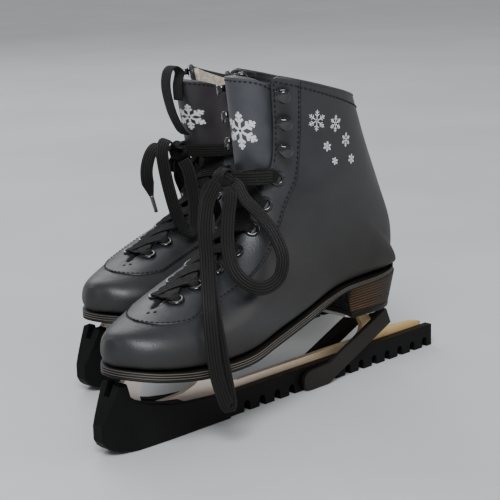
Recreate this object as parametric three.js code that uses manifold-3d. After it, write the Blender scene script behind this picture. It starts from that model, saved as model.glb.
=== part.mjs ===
// A pair of figure skates: laced high boots, each on a one-piece blade that stands in a clip-on guard.
// Units are millimetres, +Z is up, the toes point to -X and the left skate is on the -Y side.
// The frame's origin is the bottom centre of the pair's box, measured without the laces.
import * as THREE from "three";
import { mergeVertices } from "three/addons/utils/BufferGeometryUtils.js";
import Module from "manifold-3d";

const wasm = await Module();
wasm.setup();

// ---- Driving dimensions ----
const bootLength = 250; // sole, toe to back
const ballWidth = 86; // sole, at its widest
const shaftHeight = 141; // heel seat to the top of the hook flaps
const ballHeight = 44; // floor to the underside of the sole at the ball
const shaftSlump = 9; // the right boot's shaft has sunk by this much
const heelSeatHeight = 45; // floor to the underside of the heel
const soleThickness = 6;
const heelSoleThickness = 3.4;
const topLiftThickness = 4;
const leatherThickness = 2;
const liningThickness = 3;
const liningClearance = 1.4;
const insoleThickness = 3;
const facingWidth = 20; // strip that carries the eyelets and hooks
const eyeletInset = 7; // facing edge to the eyelet centres
const eyeletPitch = 17.8;
const eyeletPairs = 7;
const hookPitch = 17.4;
const hookPairs = 3;
const tongueThickness = 7;
const tongueHalfWidth = 14.6;
const bladeThickness = 3.8;
const plateThickness = 2;
const runnerTop = 20; // floor to the top edge of the runner
const guardHalfWidth = 8.2; // comb rail
const guardHeight = 15.6;
const guardFloor = 2;
const cupWall = 2.4;
const combLength = 240;
const notchPitch = 13.8;
const notchWidth = 5.2;
const notchHeight = 7.2;
const strapWidth = 12;
const strapThickness = 3.2;
const laceWidth = 8.5;
const laceThickness = 1.5;
const loopWebbing = 9; // pull loop on the right tongue
const gap = 0.3; // between pieces that touch
const pairSpacing = [67.5, 100.5]; // right skate's toe from the left one's
const pairYaw = THREE.MathUtils.degToRad(2.5);

// ---- Colours ----
const finishes = {
  leather: { color: 0x17181b, roughness: 0.42, metalness: 0 },
  fleece: { color: 0xcfc3ac, roughness: 0.95, metalness: 0 },
  sole: { color: 0x16140f, roughness: 0.55, metalness: 0 },
  heel: { color: 0x2b1d10, roughness: 0.5, metalness: 0 },
  steel: { color: 0xb8a483, roughness: 0.3, metalness: 1 },
  guard: { color: 0x151413, roughness: 0.6, metalness: 0 },
  hook: { color: 0x0d0d0f, roughness: 0.3, metalness: 0.8 },
  lace: { color: 0x26221f, roughness: 0.85, metalness: 0 },
};

// ---- Small tools ----
const drawnLength = 250;
const drawnWidth = 86;
const drawnShaft = 141;
const drawnSeat = 73; // the height that the shaft was drawn from
const along = (x) => (x * bootLength) / drawnLength;
const across = (y) => (y * ballWidth) / drawnWidth;
const lerp = THREE.MathUtils.lerp;
const point = (x, y, z) => new THREE.Vector3(x, y, z);

// Value of a curve given by [position, value] pairs, smooth through each pair.
function smooth(pairs, at) {
  const last = pairs.length - 1;
  const t = Math.min(Math.max(at, pairs[0][0]), pairs[last][0]);
  let i = 0;
  while (i < last - 1 && t > pairs[i + 1][0]) i++;
  const slope = (j) => {
    const a = pairs[Math.max(j - 1, 0)];
    const b = pairs[Math.min(j + 1, last)];
    return (b[1] - a[1]) / (b[0] - a[0]);
  };
  const [x0, y0] = pairs[i];
  const [x1, y1] = pairs[i + 1];
  const h = x1 - x0;
  const u = (t - x0) / h;
  return (
    y0 * (1 + 2 * u) * (1 - u) ** 2 +
    y1 * u * u * (3 - 2 * u) +
    h * u * (1 - u) * (slope(i) * (1 - u) - slope(i + 1) * u)
  );
}

// A mesh geometry from vertex positions and triangles.
function geometryOf(positions, triangles) {
  const g = new THREE.BufferGeometry();
  const flat = positions.flatMap((p) => [p.x, p.y, p.z]);
  g.setAttribute("position", new THREE.Float32BufferAttribute(flat, 3));
  g.setIndex(triangles);
  return g;
}

// A closed solid through a row of rings that have the same number of points, closed by a fan at each end.
function loft(rings) {
  const n = rings[0].length;
  const positions = rings.flat();
  const triangles = [];
  for (let i = 0; i + 1 < rings.length; i++)
    for (let j = 0; j < n; j++) {
      const a = i * n + j;
      const b = i * n + ((j + 1) % n);
      triangles.push(a, b, b + n, a, b + n, a + n);
    }
  for (const [ring, first, turn] of [
    [rings[0], 0, true],
    [rings.at(-1), (rings.length - 1) * n, false],
  ]) {
    const centre = positions.length;
    positions.push(ring.reduce((s, p) => s.add(p), point(0, 0, 0)).divideScalar(n));
    for (let j = 0; j < n; j++) {
      const a = first + j;
      const b = first + ((j + 1) % n);
      triangles.push(...(turn ? [centre, b, a] : [centre, a, b]));
    }
  }
  return geometryOf(positions, triangles);
}

// A sheet with a thickness: face(i, j, 0) is its outer face and face(i, j, 1) its inner one.
function sheet(rows, columns, face) {
  const positions = [];
  const id = (i, j, k) => (i * (columns + 1) + j) * 2 + k;
  for (let i = 0; i <= rows; i++)
    for (let j = 0; j <= columns; j++)
      for (let k = 0; k < 2; k++) positions.push(face(i, j, k));
  const triangles = [];
  const quad = (a, b, c, d) => triangles.push(a, b, c, a, c, d);
  for (let i = 0; i < rows; i++)
    for (let j = 0; j < columns; j++) {
      quad(id(i, j, 0), id(i, j + 1, 0), id(i + 1, j + 1, 0), id(i + 1, j, 0));
      quad(id(i, j, 1), id(i + 1, j, 1), id(i + 1, j + 1, 1), id(i, j + 1, 1));
    }
  for (let i = 0; i < rows; i++) {
    quad(id(i, 0, 0), id(i + 1, 0, 0), id(i + 1, 0, 1), id(i, 0, 1));
    quad(id(i, columns, 0), id(i, columns, 1), id(i + 1, columns, 1), id(i + 1, columns, 0));
  }
  for (let j = 0; j < columns; j++) {
    quad(id(0, j, 0), id(0, j, 1), id(0, j + 1, 1), id(0, j + 1, 0));
    quad(id(rows, j, 0), id(rows, j + 1, 0), id(rows, j + 1, 1), id(rows, j, 1));
  }
  return geometryOf(positions, triangles);
}

// A manifold solid of a closed geometry, turned outwards if it faces in.
function solid(geometry) {
  const bare = new THREE.BufferGeometry();
  bare.setAttribute("position", geometry.getAttribute("position").clone());
  if (geometry.index) bare.setIndex(geometry.index.clone());
  const merged = mergeVertices(bare, 1e-3);
  const make = (triVerts) =>
    new wasm.Manifold(
      new wasm.Mesh({
        numProp: 3,
        vertProperties: merged.attributes.position.array,
        triVerts,
      }),
    );
  const triVerts = new Uint32Array(merged.index.array);
  const made = make(triVerts);
  return made.volume() < 0 ? make(triVerts.slice().reverse()) : made;
}

// The geometry of a manifold solid.
function shape(made) {
  const m = made.getMesh();
  const g = new THREE.BufferGeometry();
  const positions = new Float32Array(m.numVert * 3);
  for (let i = 0; i < m.numVert; i++)
    positions.set(m.vertProperties.subarray(i * m.numProp, i * m.numProp + 3), i * 3);
  g.setAttribute("position", new THREE.BufferAttribute(positions, 3));
  g.setIndex(new THREE.BufferAttribute(m.triVerts, 1));
  return g;
}

const joined = (geometries) => shape(geometries.map(solid).reduce((a, b) => a.add(b)));
const cut = (geometry, cutters) =>
  shape(cutters.map(solid).reduce((a, b) => a.subtract(b), solid(geometry)));

// A plate whose outline is drawn in the X-Z plane and whose thickness runs along Y from y0 to y1.
function plateXZ(outline, y0, y1, holes = []) {
  const drawn = new THREE.Shape(outline.map(([x, z]) => new THREE.Vector2(x, z)));
  for (const hole of holes)
    drawn.holes.push(new THREE.Path(hole.map(([x, z]) => new THREE.Vector2(x, z))));
  const g = new THREE.ExtrudeGeometry(drawn, { depth: y1 - y0, bevelEnabled: false });
  g.rotateX(Math.PI / 2);
  g.translate(0, y1, 0);
  return g;
}

function box(x0, x1, y0, y1, z0, z1) {
  const g = new THREE.BoxGeometry(x1 - x0, y1 - y0, z1 - z0);
  g.translate((x0 + x1) / 2, (y0 + y1) / 2, (z0 + z1) / 2);
  return g;
}

// ---- The last: every soft piece of the boot follows this surface ----
// Each station is a section of the boot. top is on the instep or shin line and bottom on the sole or back line;
// half is the half width, shift moves the section sideways, belly is where it is widest, and the two rounds say
// how square its top and bottom are.
const soleTopLine = [
  [4, 55.5], [20, 53.2], [42, 51], [65, 50], [86, 50.4], [108, 54], [128, 57.6], [147, 61.6], [168, 67.2],
  [186, 70.8], [220, 72.2], [254, 73.6],
];
const soleTop = (x) =>
  smooth(soleTopLine, (x * drawnLength) / bootLength) + (ballHeight - 44) + (soleThickness - 6);
const soleUnder = (x) => {
  const t = THREE.MathUtils.smoothstep(x, along(150), along(186));
  return soleTop(x) - lerp(soleThickness, heelSoleThickness, t);
};
const bottomOn = (x) => [x, null];
const stations = [
  { top: [6.5, 71.5], bottom: bottomOn(6), half: 8, shift: -5.5, belly: 0.55, rounds: [2.2, 2.6] },
  { top: [11.5, 75], bottom: bottomOn(10), half: 16.2, shift: -6.4, belly: 0.6, rounds: [2.2, 3] },
  { top: [20, 77.5], bottom: bottomOn(18), half: 24, shift: -6.7, belly: 0.62, rounds: [2.2, 3.2] },
  { top: [33, 80.5], bottom: bottomOn(34), half: 32.2, shift: -5.7, belly: 0.64, rounds: [2.1, 3.4] },
  { top: [52, 86], bottom: bottomOn(60), half: 39, shift: -2.6, belly: 0.68, rounds: [2.05, 3.6] },
  { top: [73, 93.5], bottom: bottomOn(90), half: 40.3, shift: -0.3, belly: 0.66, rounds: [2, 3.6] },
  { top: [92, 103.5], bottom: bottomOn(119), half: 35.5, shift: -0.8, belly: 0.62, rounds: [2, 3.4] },
  { top: [107, 116], bottom: bottomOn(148), half: 31.5, shift: -1.4, belly: 0.58, rounds: [2, 3.2] },
  { top: [116, 130], bottom: bottomOn(180), half: 29.8, shift: -0.6, belly: 0.55, rounds: [2, 3] },
  { top: [121, 144], bottom: bottomOn(210), half: 30.2, shift: 0, belly: 0.52, rounds: [2.05, 2.7] },
  { top: [124, 157], bottom: bottomOn(237), half: 30.8, shift: 0, belly: 0.5, rounds: [2.1, 2.4] },
  { top: [125.5, 168], bottom: [254, 82.5], half: 31.8, shift: 0, belly: 0.5, rounds: [2.15, 2.1] },
  { top: [126, 180], bottom: [253.5, 99], half: 32.8, shift: 0, belly: 0.5, rounds: [2.2, 1.95] },
  { top: [126, 191], bottom: [241.5, 124], half: 34, shift: 0, belly: 0.5, rounds: [2.2, 1.85] },
  { top: [125.5, 202], bottom: [226, 157], half: 35.5, shift: 0, belly: 0.5, rounds: [2.2, 1.8] },
  { top: [125, 214], bottom: [212, 189], half: 37, shift: 0, belly: 0.5, rounds: [2.2, 1.8] },
];
const lastStation = stations.length - 1;
let toeSwing = 1; // both toes are set a little towards -Y, so this is -1 while the mirrored skate is drawn
const raised = (z) => {
  const height = toeSwing > 0 ? shaftHeight : shaftHeight - shaftSlump;
  return drawnSeat + (z - drawnSeat) * (z > drawnSeat ? height / drawnShaft : 1) + ballHeight - 44 + soleThickness - 6;
};
const curveOf = (read) => {
  const pairs = stations.map((s, i) => [i, read(s)]);
  return (k) => smooth(pairs, k);
};
const topX = curveOf((s) => along(s.top[0]));
const topZ = (k) => raised(smooth(stations.map((s, i) => [i, s.top[1]]), k));
const bottomX = curveOf((s) => along(s.bottom[0]));
const bottomZ = (k) =>
  smooth(
    stations.map((s, i) => [i, s.bottom[1] === null ? soleTop(along(s.bottom[0])) + gap + 0.8 : raised(s.bottom[1])]),
    k,
  );
const halfAt = curveOf((s) => across(s.half));
const shiftAt = (k) => toeSwing * smooth(stations.map((s, i) => [i, s.shift]), k);
const bellyAt = curveOf((s) => s.belly);
const topRound = curveOf((s) => s.rounds[0]);
const bottomRound = curveOf((s) => s.rounds[1]);

// A point of the last at station k. angle is 0 on the top line and pi on the bottom line, positive on the outer
// (-Y) side; inset moves it inwards.
function onLast(k, angle, inset = 0) {
  const top = point(topX(k), 0, topZ(k));
  const bottom = point(bottomX(k), 0, bottomZ(k));
  const down = bottom.clone().sub(top);
  const length = down.length();
  down.divideScalar(length);
  const a = Math.abs(angle);
  const upper = a <= Math.PI / 2;
  const power = 2 / (upper ? topRound(k) : bottomRound(k));
  const c = Math.abs(Math.cos(a)) ** power;
  const s = Math.abs(Math.sin(a)) ** power;
  const inner = length - 2 * inset;
  const belly = inner * bellyAt(k);
  const v = inset + (upper ? belly * (1 - c) : belly + (inner - belly) * c);
  const w = (halfAt(k) - inset) * s;
  const p = top.addScaledVector(down, v);
  p.y = shiftAt(k) - Math.sign(angle) * w;
  return p;
}

// The angle at which the section's girth, from the top line, reaches a distance.
function angleAtGirth(k, distance) {
  const step = THREE.MathUtils.degToRad(0.5);
  let angle = 0;
  let sum = 0;
  let before = onLast(k, 1e-4);
  while (sum < distance && angle < Math.PI) {
    angle += step;
    const p = onLast(k, angle);
    sum += p.distanceTo(before);
    before = p;
  }
  return angle - (step * (sum - distance)) / Math.max(sum, step);
}

// ---- Boot ----
const throatStart = 3.75; // station of the throat's lower end
const panelStart = 2.9; // station of the facing's rounded lower end
const edgeGirth = (k) =>
  k < throatStart
    ? gap / 2
    : smooth([[throatStart, 2], [5, 3.6], [6.5, 6], [8, 9], [9.6, 15], [10.4, 18], [11.5, 19], [15, 19]], k);
const seamGirth = (k) => {
  const full = Math.max(edgeGirth(k), 2) + facingWidth;
  const rise = Math.min(Math.max((k - panelStart) / (throatStart - panelStart), 0.0006), 1);
  return full * Math.sqrt(rise);
};
const degrees = THREE.MathUtils.degToRad;
const sideAngles = [72, 98, 120, 138, 156].map(degrees);
const upperStations = [
  panelStart + 0.02, 3.2, throatStart, 4.5, 5.5, 6.5, 7.5, 8.5, 9.6, 10.6, 11.4, 12.2, 13, 14, 15,
];

// One side's sheet between two girths or fixed angles. side is 1 outside and -1 inside.
function sidePanel(side, rows, columnsAt, outerInset, innerInset) {
  const columns = columnsAt(rows[0]).length - 1;
  const angles = rows.map(columnsAt);
  return sheet(rows.length - 1, columns, (i, j, k) =>
    onLast(rows[i], side * angles[i][j], k ? innerInset : outerInset),
  );
}

function quarter(side) {
  const columnsAt = (k) => {
    const first = angleAtGirth(k, seamGirth(k) + gap);
    return [first, (first + sideAngles[0]) / 2, ...sideAngles, Math.PI - 0.004];
  };
  return sidePanel(side, upperStations, columnsAt, 0, leatherThickness);
}

function eyestay(side) {
  const columnsAt = (k) => {
    const first = angleAtGirth(k, edgeGirth(k));
    const last = angleAtGirth(k, seamGirth(k));
    return [first, (first + last) / 2, last];
  };
  return sidePanel(side, upperStations, columnsAt, 0, leatherThickness);
}

const topAngles = [0, 0.35, 0.7].map((t) => t * sideAngles[0]);
const halfRing = [...topAngles, ...sideAngles];
const ringAngles = [...halfRing, Math.PI, ...halfRing.slice(1).reverse().map((a) => -a)];
const ringOf = (k, inset) => ringAngles.map((a) => onLast(k, a, inset));

function toeBox() {
  const stationsOut = [0, 0.3, 1, 2, panelStart - 0.005];
  const stationsIn = [0.3, 0.7, 1, 2, panelStart + 0.3];
  const outer = loft(stationsOut.map((k) => ringOf(k, 0)));
  const inner = loft(stationsIn.map((k) => ringOf(k, leatherThickness)));
  return cut(outer, [inner]);
}

function lining() {
  const rows = [0.7, 1, 2, ...upperStations.slice(0, -1), lastStation - 0.02];
  const overlap = 0.02;
  const columnsAt = (k) => {
    const first = k < throatStart ? -overlap : angleAtGirth(k, edgeGirth(k) + 4.5);
    return [first, lerp(first, sideAngles[0], 0.35), lerp(first, sideAngles[0], 0.7), ...sideAngles, Math.PI + overlap];
  };
  const outset = leatherThickness + liningClearance;
  const halves = [1, -1].map((side) =>
    sidePanel(side, rows, columnsAt, outset, outset + liningThickness),
  );
  return joined(halves);
}

function insole() {
  const rows = [1, 2, ...upperStations.slice(0, 9)];
  const outset = leatherThickness + liningClearance + liningThickness + 0.8;
  const angles = [...sideAngles.slice(-1), Math.PI, ...sideAngles.slice(-1).map((a) => -a)];
  return sheet(rows.length - 1, angles.length - 1, (i, j, k) =>
    onLast(rows[i], angles[j], outset + (k ? insoleThickness : 0)),
  );
}

const hingeStation = 10.05; // the tongue bends above the top row of laces
function tongueBelow() {
  const rows = [throatStart - 0.3, 4.5, 5.5, 6.5, 7.5, 8.5, 9.6];
  const outset = leatherThickness + liningClearance + liningThickness + 2.6;
  const fractions = [-1, -0.6, -0.2, 0.2, 0.6, 1];
  return sheet(rows.length - 1, fractions.length - 1, (i, j, k) => {
    const wide = angleAtGirth(rows[i], Math.max(edgeGirth(rows[i]), 4) + 12);
    return onLast(rows[i], wide * fractions[j], outset + (k ? tongueThickness - 1 : 0));
  });
}

// The tongue's upper end is a half tube that stands forward through the gap between the hook flaps.
const tongueFoot = raised(157.5);
const tongues = {
  left: { head: raised(212), front: -3, lean: 7, half: across(tongueHalfWidth) },
  right: { head: raised(197), front: -17, lean: 8, half: across(tongueHalfWidth) + 2.5 }, // spread and pulled forward
};
function tongueAbove(side) {
  const { head, front, lean, half } = tongues[side];
  const rows = 5;
  const columns = 8;
  return sheet(rows, columns, (i, j, k) => {
    const t = i / rows;
    const z = lerp(tongueFoot, head, t) - (i === rows ? 6 * Math.abs(j / columns - 0.5) ** 2 * 4 : 0);
    const a = lerp(Math.PI / 2, -Math.PI / 2, j / columns);
    const radius = half - (k ? tongueThickness - 1.5 : 0);
    const depth = (k ? 12 : 17) + 2 * t;
    const x = topX(hingeStation) + front - lean * t + (k ? tongueThickness : 0);
    return point(x + depth * (1 - Math.cos(a)), -radius * Math.sin(a), z);
  });
}

// ---- Sole and heel ----
const soleOutline = [
  // along, half width on the -Y side, half width on the other side
  [4, 11, 0], [6.5, 17.5, 5], [13, 26, 12.5], [23, 34, 21], [42, 41, 31.8], [65, 43, 40], [90, 42, 42.5],
  [115, 37.5, 37], [147, 32.5, 29], [166, 31, 28.6], [186, 30.8, 29.8], [210, 31, 31], [230, 27.8, 27.8],
  [244, 19.5, 19.5], [251, 10.5, 10.5], [254, 2.5, 2.5],
];
function outsole() {
  const chamfer = 0.8;
  return loft(
    soleOutline.map(([x, outer, inner]) => {
      const px = along(x);
      const top = soleTop(px);
      const under = soleUnder(px);
      const [yo, yi] = toeSwing > 0 ? [-across(outer), across(inner)] : [-across(inner), across(outer)];
      return [
        point(px, yo + chamfer, top), point(px, yo, top - chamfer), point(px, yo, under + chamfer),
        point(px, yo + chamfer, under), point(px, yi - chamfer, under), point(px, yi, under + chamfer),
        point(px, yi, top - chamfer), point(px, yi - chamfer, top),
      ];
    }),
  );
}

// D-shaped outline of the heel with a hollow breast.
function heelOutline(front, rear, half, hollow) {
  const breast = [-1, -0.5, 0, 0.5, 1].map((t) => [front + hollow * (1 - t * t), t * half * 0.97]);
  const straight = rear - half * 1.15;
  const round = Array.from({ length: 13 }, (_, i) => {
    const a = lerp(Math.PI / 2, -Math.PI / 2, i / 12);
    return [straight + (rear - straight) * Math.cos(a) ** 0.9, half * Math.sin(a)];
  });
  return [...breast, ...round];
}
const heelFront = along(187);
const heelRear = along(252.8);
const heelFoot = heelSeatHeight;
const heelOutlineAt = (t) =>
  heelOutline(lerp(heelFront, along(197.5), t), lerp(heelRear, along(246.5), t), across(lerp(29, 24, t)), lerp(3, 5, t));
const heelRing = (t, zOf) => heelOutlineAt(t).map(([x, y]) => point(x, y, zOf(x)));
function heelStack() {
  const foot = heelFoot + topLiftThickness + gap;
  const topOf = (x) => soleUnder(Math.max(x, heelFront)) - gap - 0.1;
  const rings = [0, 0.5, 1].map((t) => heelRing(t * 0.9, (x) => lerp(topOf(x), foot, t)));
  return loft(rings);
}
const topLift = () => loft([heelRing(0.92, () => heelFoot + topLiftThickness), heelRing(1, () => heelFoot)]);

// ---- Blade ----
const plateFront = along(18);
const plateUnder = (x) => soleUnder(x) - gap - 0.1 - plateThickness;
function solePlate() {
  const outline = [[18, 9], [24, 17], [40, 24], [66, 27], [88, 25], [104, 17], [112, 9]];
  return loft(
    outline.map(([x, half]) => {
      const px = along(x);
      const y = across(half);
      const top = plateUnder(px) + plateThickness;
      const under = plateUnder(px);
      return [point(px, -y, top), point(px, -y, under), point(px, y, under), point(px, y, top)];
    }),
  );
}
const heelPlateTop = heelFoot - gap;
function heelPlate() {
  const outline = [[203, 12], [208, 17], [224, 19], [238, 16], [243, 10]];
  return loft(
    outline.map(([x, half]) => {
      const px = along(x);
      const y = across(half);
      return [
        point(px, -y, heelPlateTop), point(px, -y, heelPlateTop - plateThickness),
        point(px, y, heelPlateTop - plateThickness), point(px, y, heelPlateTop),
      ];
    }),
  );
}

const lengthened = (geometry) => geometry.scale(bootLength / drawnLength, 1, 1);
const arc = (cx, cz, r, from, to, steps) =>
  Array.from({ length: steps + 1 }, (_, i) => {
    const a = degrees(lerp(from, to, i / steps));
    return [cx + r * Math.cos(a), cz + r * Math.sin(a)];
  });
const tailEnd = 296;
const rockerRadius = 2400;
const rockerMiddle = 150;
const runnerBottom = (x) =>
  guardFloor + 0.7 + rockerRadius - Math.sqrt(rockerRadius ** 2 - (x - rockerMiddle) ** 2);
function blade() {
  const under = (x) => [x, plateUnder(along(x)) - gap];
  const heelUnder = heelPlateTop - plateThickness - gap;
  const picks = Array.from({ length: 5 }, (_, i) => [[5 + 0.4 * i, 19 - 3 * i], [7.6 + i * 0.6, 18 - 3 * i]]).flat();
  const bottom = [24, 50, 90, 150, 210, 260, 286].map((x) => [x, runnerBottom(x)]);
  const midFront = 101;
  const midRear = 232;
  const outline = [
    [14, soleUnder(plateFront) - plateThickness - 7], [6.5, 26],
    ...picks,
    [12, 5.2], ...bottom,
    [tailEnd - 3, 9], [tailEnd, 14], [tailEnd - 3, 18], [tailEnd - 9, runnerTop - 0.3],
    [262, runnerTop + 1], [250, runnerTop + 1.6], [243.5, 27], [238.5, 35], [237, heelUnder], [224, heelUnder],
    ...arc(midRear - 9, runnerTop + 9, 9, 0, -90, 4),
    ...arc(midFront + 10, runnerTop + 10, 10, -90, -180, 4),
    under(midFront + 3), under(88), under(66), under(44), under(30), under(21),
  ];
  const hole = [
    ...arc(37, 30, 7.5, 180, 270, 3), [52, 22.5], [64, 23.2], [74, 26], ...arc(75, 33, 5.5, -45, 90, 3),
    [60, 37.5], [42, 38.5], [31, 38.5],
  ];
  return lengthened(plateXZ(outline, -bladeThickness / 2, bladeThickness / 2, [hole]));
}

// ---- Guard ----
const cupRear = 95.5;
const combFront = 60; // hidden inside the cup
const combEnd = combFront + combLength;
const slot = bladeThickness / 2 + 0.6;
const cupCavity = guardHalfWidth + gap;
function guardFront() {
  const half = cupCavity + cupWall;
  const sections = [
    // along, half width, underside, top
    [-2.5, 4, 10, 20], [0, 5.2, 6.5, 25], [4, 6.6, 3.5, 33], [9, 8, 1.8, 43], [14.5, 8.8, 0.8, 43],
    [16.5, 9.2, 0.4, 35], [21, 9.8, 0, 31], [29, 10.3, 0, 27.8], [46, half, 0, 23], [60, half, 0, 20.8],
    [cupRear, half, 0, 17.8],
  ];
  const bevel = 0.8;
  const body = loft(
    sections.map(([x, w, z0, z1]) => [
      point(x, -w + bevel, z1), point(x, -w, z1 - bevel), point(x, -w, z0 + bevel), point(x, -w + bevel, z0),
      point(x, w - bevel, z0), point(x, w, z0 + bevel), point(x, w, z1 - bevel), point(x, w - bevel, z1),
    ]),
  );
  return cut(body, [
    plateXZ([[3.4, 4.4], [combFront + 2, guardFloor], [combFront + 2, 60], [10, 60], [4, 28]], -slot, slot),
    box(combFront - 1.5, cupRear + 5, -cupCavity, cupCavity, guardFloor, 60),
  ]);
}

const strapPivot = [168, 7];
const studRadius = 1.9;
const studAlongY = (y0, y1, r) => {
  const g = new THREE.CylinderGeometry(r, r, y1 - y0, 12);
  g.translate(strapPivot[0], (y0 + y1) / 2, strapPivot[1]);
  return g;
};
const firstNotch = 112.7;
function guardRear() {
  const step = cupRear + 1.2; // behind the cup the comb reaches the floor
  const notch = (x) => [
    [x - notchWidth / 2, 0], [x - notchWidth / 2, notchHeight - notchWidth / 2],
    ...arc(x, notchHeight - notchWidth / 2, notchWidth / 2, 150, 30, 3),
    [x + notchWidth / 2, notchHeight - notchWidth / 2], [x + notchWidth / 2, 0],
  ];
  const count = Math.floor((combEnd - 3 - notchWidth / 2 - firstNotch) / notchPitch) + 1;
  const notches = Array.from({ length: count }, (_, i) => notch(firstNotch + i * notchPitch)).flat();
  const outline = [
    [combFront, guardFloor + gap], [step, guardFloor + gap], [step, 0], ...notches,
    [combEnd, 0], [combEnd, guardHeight], [combFront, guardHeight],
  ];
  return cut(plateXZ(outline, -guardHalfWidth, guardHalfWidth), [
    box(combFront - 5, combEnd + 5, -slot, slot, guardFloor + 0.4, 60),
    studAlongY(guardHalfWidth - 4, guardHalfWidth + 3, studRadius + gap),
    studAlongY(-guardHalfWidth - 3, -guardHalfWidth + 4, studRadius + gap),
  ]);
}

function guardStrap() {
  const inside = guardHalfWidth + 1.2;
  const outside = inside + strapThickness;
  const lug = 6.6;
  const bend = [189.5, 9.2];
  const head = [244.3, 33.2];
  const direction = new THREE.Vector2(head[0] - bend[0], head[1] - bend[1]).normalize();
  const normal = new THREE.Vector2(-direction.y, direction.x);
  const beside = ([x, z], n, d = 0) => [
    x + normal.x * n + direction.x * d,
    z + normal.y * n + direction.y * d,
  ];
  const w = strapWidth / 2;
  const arm = [
    ...arc(strapPivot[0], strapPivot[1], lug, 95, 265, 6),
    [186, strapPivot[1] - lug + 0.2], beside(bend, -w), beside(head, -w, strapThickness),
    beside(head, w, strapThickness), beside(bend, w),
  ];
  const bar = [beside(head, 0.3 - w), beside(head, 0.3 - w, strapThickness - 0.3), beside(head, w - 0.3, strapThickness - 0.3), beside(head, w - 0.3)];
  return joined([
    plateXZ(arm, -outside, -inside),
    plateXZ(arm, inside, outside),
    plateXZ(bar, -inside - 1.5, inside + 1.5),
    studAlongY(inside - 0.5 - 4.2, inside + 0.5, studRadius),
    studAlongY(-inside - 0.5, -inside + 0.5 + 4.2, studRadius),
  ]);
}

// ---- Eyelet and hook places ----
const rowGirth = (k) => edgeGirth(k) + eyeletInset;
const onRow = (k, side) => onLast(k, side * angleAtGirth(k, rowGirth(k)));
// Stations along the eyelet row at the given distances from the first eyelet.
function rowStations(distances) {
  const found = [];
  let k = 4.05;
  let run = 0;
  let before = onRow(k, 1);
  for (const d of distances) {
    while (run < d && k < lastStation - 0.3) {
      k += 0.02;
      const p = onRow(k, 1);
      run += p.distanceTo(before);
      before = p;
    }
    found.push(k);
  }
  return found;
}
const eyeletDistances = Array.from({ length: eyeletPairs }, (_, i) => i * eyeletPitch);
const hookDistances = Array.from(
  { length: hookPairs },
  (_, i) => eyeletDistances.at(-1) + 19 + i * hookPitch,
);
const eyelets = rowStations(eyeletDistances);
const hooks = rowStations(hookDistances);

// A frame on the last: the outward normal, the direction away from the throat and the direction up the boot.
function frameOnLast(k, side) {
  const a = angleAtGirth(k, rowGirth(k)) * side;
  const at = onLast(k, a);
  const away = onLast(k, a + side * 0.05).sub(onLast(k, a - side * 0.05)).normalize();
  const up = onLast(k + 0.1, a).sub(onLast(k - 0.1, a)).normalize();
  const out = new THREE.Vector3().crossVectors(up, away).multiplyScalar(side).normalize();
  if (out.dot(at.clone().sub(onLast(k, a, 5))) < 0) out.negate();
  up.crossVectors(out, away).normalize();
  return { at, away, up, out };
}

function hook(side, k) {
  const profile = [[-4, 0], [4.5, 0], [4.5, 1.1], [-1.6, 1.1], [-1.6, 4.2], [5.5, 4.6], [5.3, 5.7], [-3.4, 5.4], [-3.6, 1.1], [-4, 1.1]];
  const drawn = new THREE.Shape(profile.map(([x, y]) => new THREE.Vector2(x, y)));
  const g = new THREE.ExtrudeGeometry(drawn, { depth: 6, bevelEnabled: false });
  g.translate(0, 0, -3);
  const { at, away, out } = frameOnLast(k, side);
  const third = new THREE.Vector3().crossVectors(away, out);
  const turn = new THREE.Matrix4().makeBasis(away, out, third);
  turn.setPosition(at.addScaledVector(out, 0.5));
  return g.applyMatrix4(turn);
}

// ---- Laces ----
// A flat lace along a route. flat(i) is the direction across the lace's thin side at point i.
function ribbon(route, flat, width = laceWidth, thickness = laceThickness) {
  const rings = route.map((p, i) => {
    const ahead = route[Math.min(i + 1, route.length - 1)];
    const behind = route[Math.max(i - 1, 0)];
    const tangent = ahead.clone().sub(behind).normalize();
    const thin = flat(i).clone();
    thin.addScaledVector(tangent, -thin.dot(tangent)).normalize();
    const wide = new THREE.Vector3().crossVectors(tangent, thin);
    const corner = (a, b) =>
      p.clone().addScaledVector(wide, (a * width) / 2).addScaledVector(thin, (b * thickness) / 2);
    return [corner(-1, -1), corner(1, -1), corner(1, 1), corner(-1, 1)];
  });
  return loft(rings);
}

// The stretch that holds the facings together: a bar at the toe end and a crossing between each two rows.
function lacedStretch(knotAt) {
  const lift = 1.6 + laceThickness;
  const bars = [];
  const place = (i, side) => {
    const f = frameOnLast(eyelets[i], side);
    return { at: f.at.addScaledVector(f.out, lift), out: f.out };
  };
  const over = (a, b, rise, index) => {
    const k = lerp(eyelets[Math.floor(index)], eyelets[Math.ceil(index)], 0.5);
    const up = onLast(k, 0).sub(onLast(k, 0, 5)).normalize();
    const middle = onLast(k, 0).addScaledVector(up, lift + rise);
    const curve = new THREE.QuadraticBezierCurve3(a.at, middle.multiplyScalar(2).sub(a.at.clone().lerp(b.at, 0.5)), b.at);
    const thin = [a.out, up, up, up, b.out];
    return ribbon(curve.getPoints(4), (i) => thin[i]);
  };
  bars.push(over(place(0, 1), place(0, -1), 0.2, 0));
  for (let i = 0; i + 1 < eyelets.length; i++) {
    bars.push(over(place(i, 1), place(i + 1, -1), 0, i + 0.5));
    bars.push(over(place(i, -1), place(i + 1, 1), 1, i + 0.5));
  }
  const knot = new THREE.SphereGeometry(1, 8, 6);
  knot.scale(7, 7.5, 6.5);
  knot.translate(knotAt.x, knotAt.y, knotAt.z);
  for (const side of [1, -1]) {
    const { at, out } = place(eyelets.length - 1, side);
    const curve = new THREE.QuadraticBezierCurve3(at, at.clone().lerp(knotAt, 0.5).addScaledVector(out, 6), knotAt);
    bars.push(ribbon(curve.getPoints(4), () => out));
  }
  return joined([...bars, knot]);
}

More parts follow.
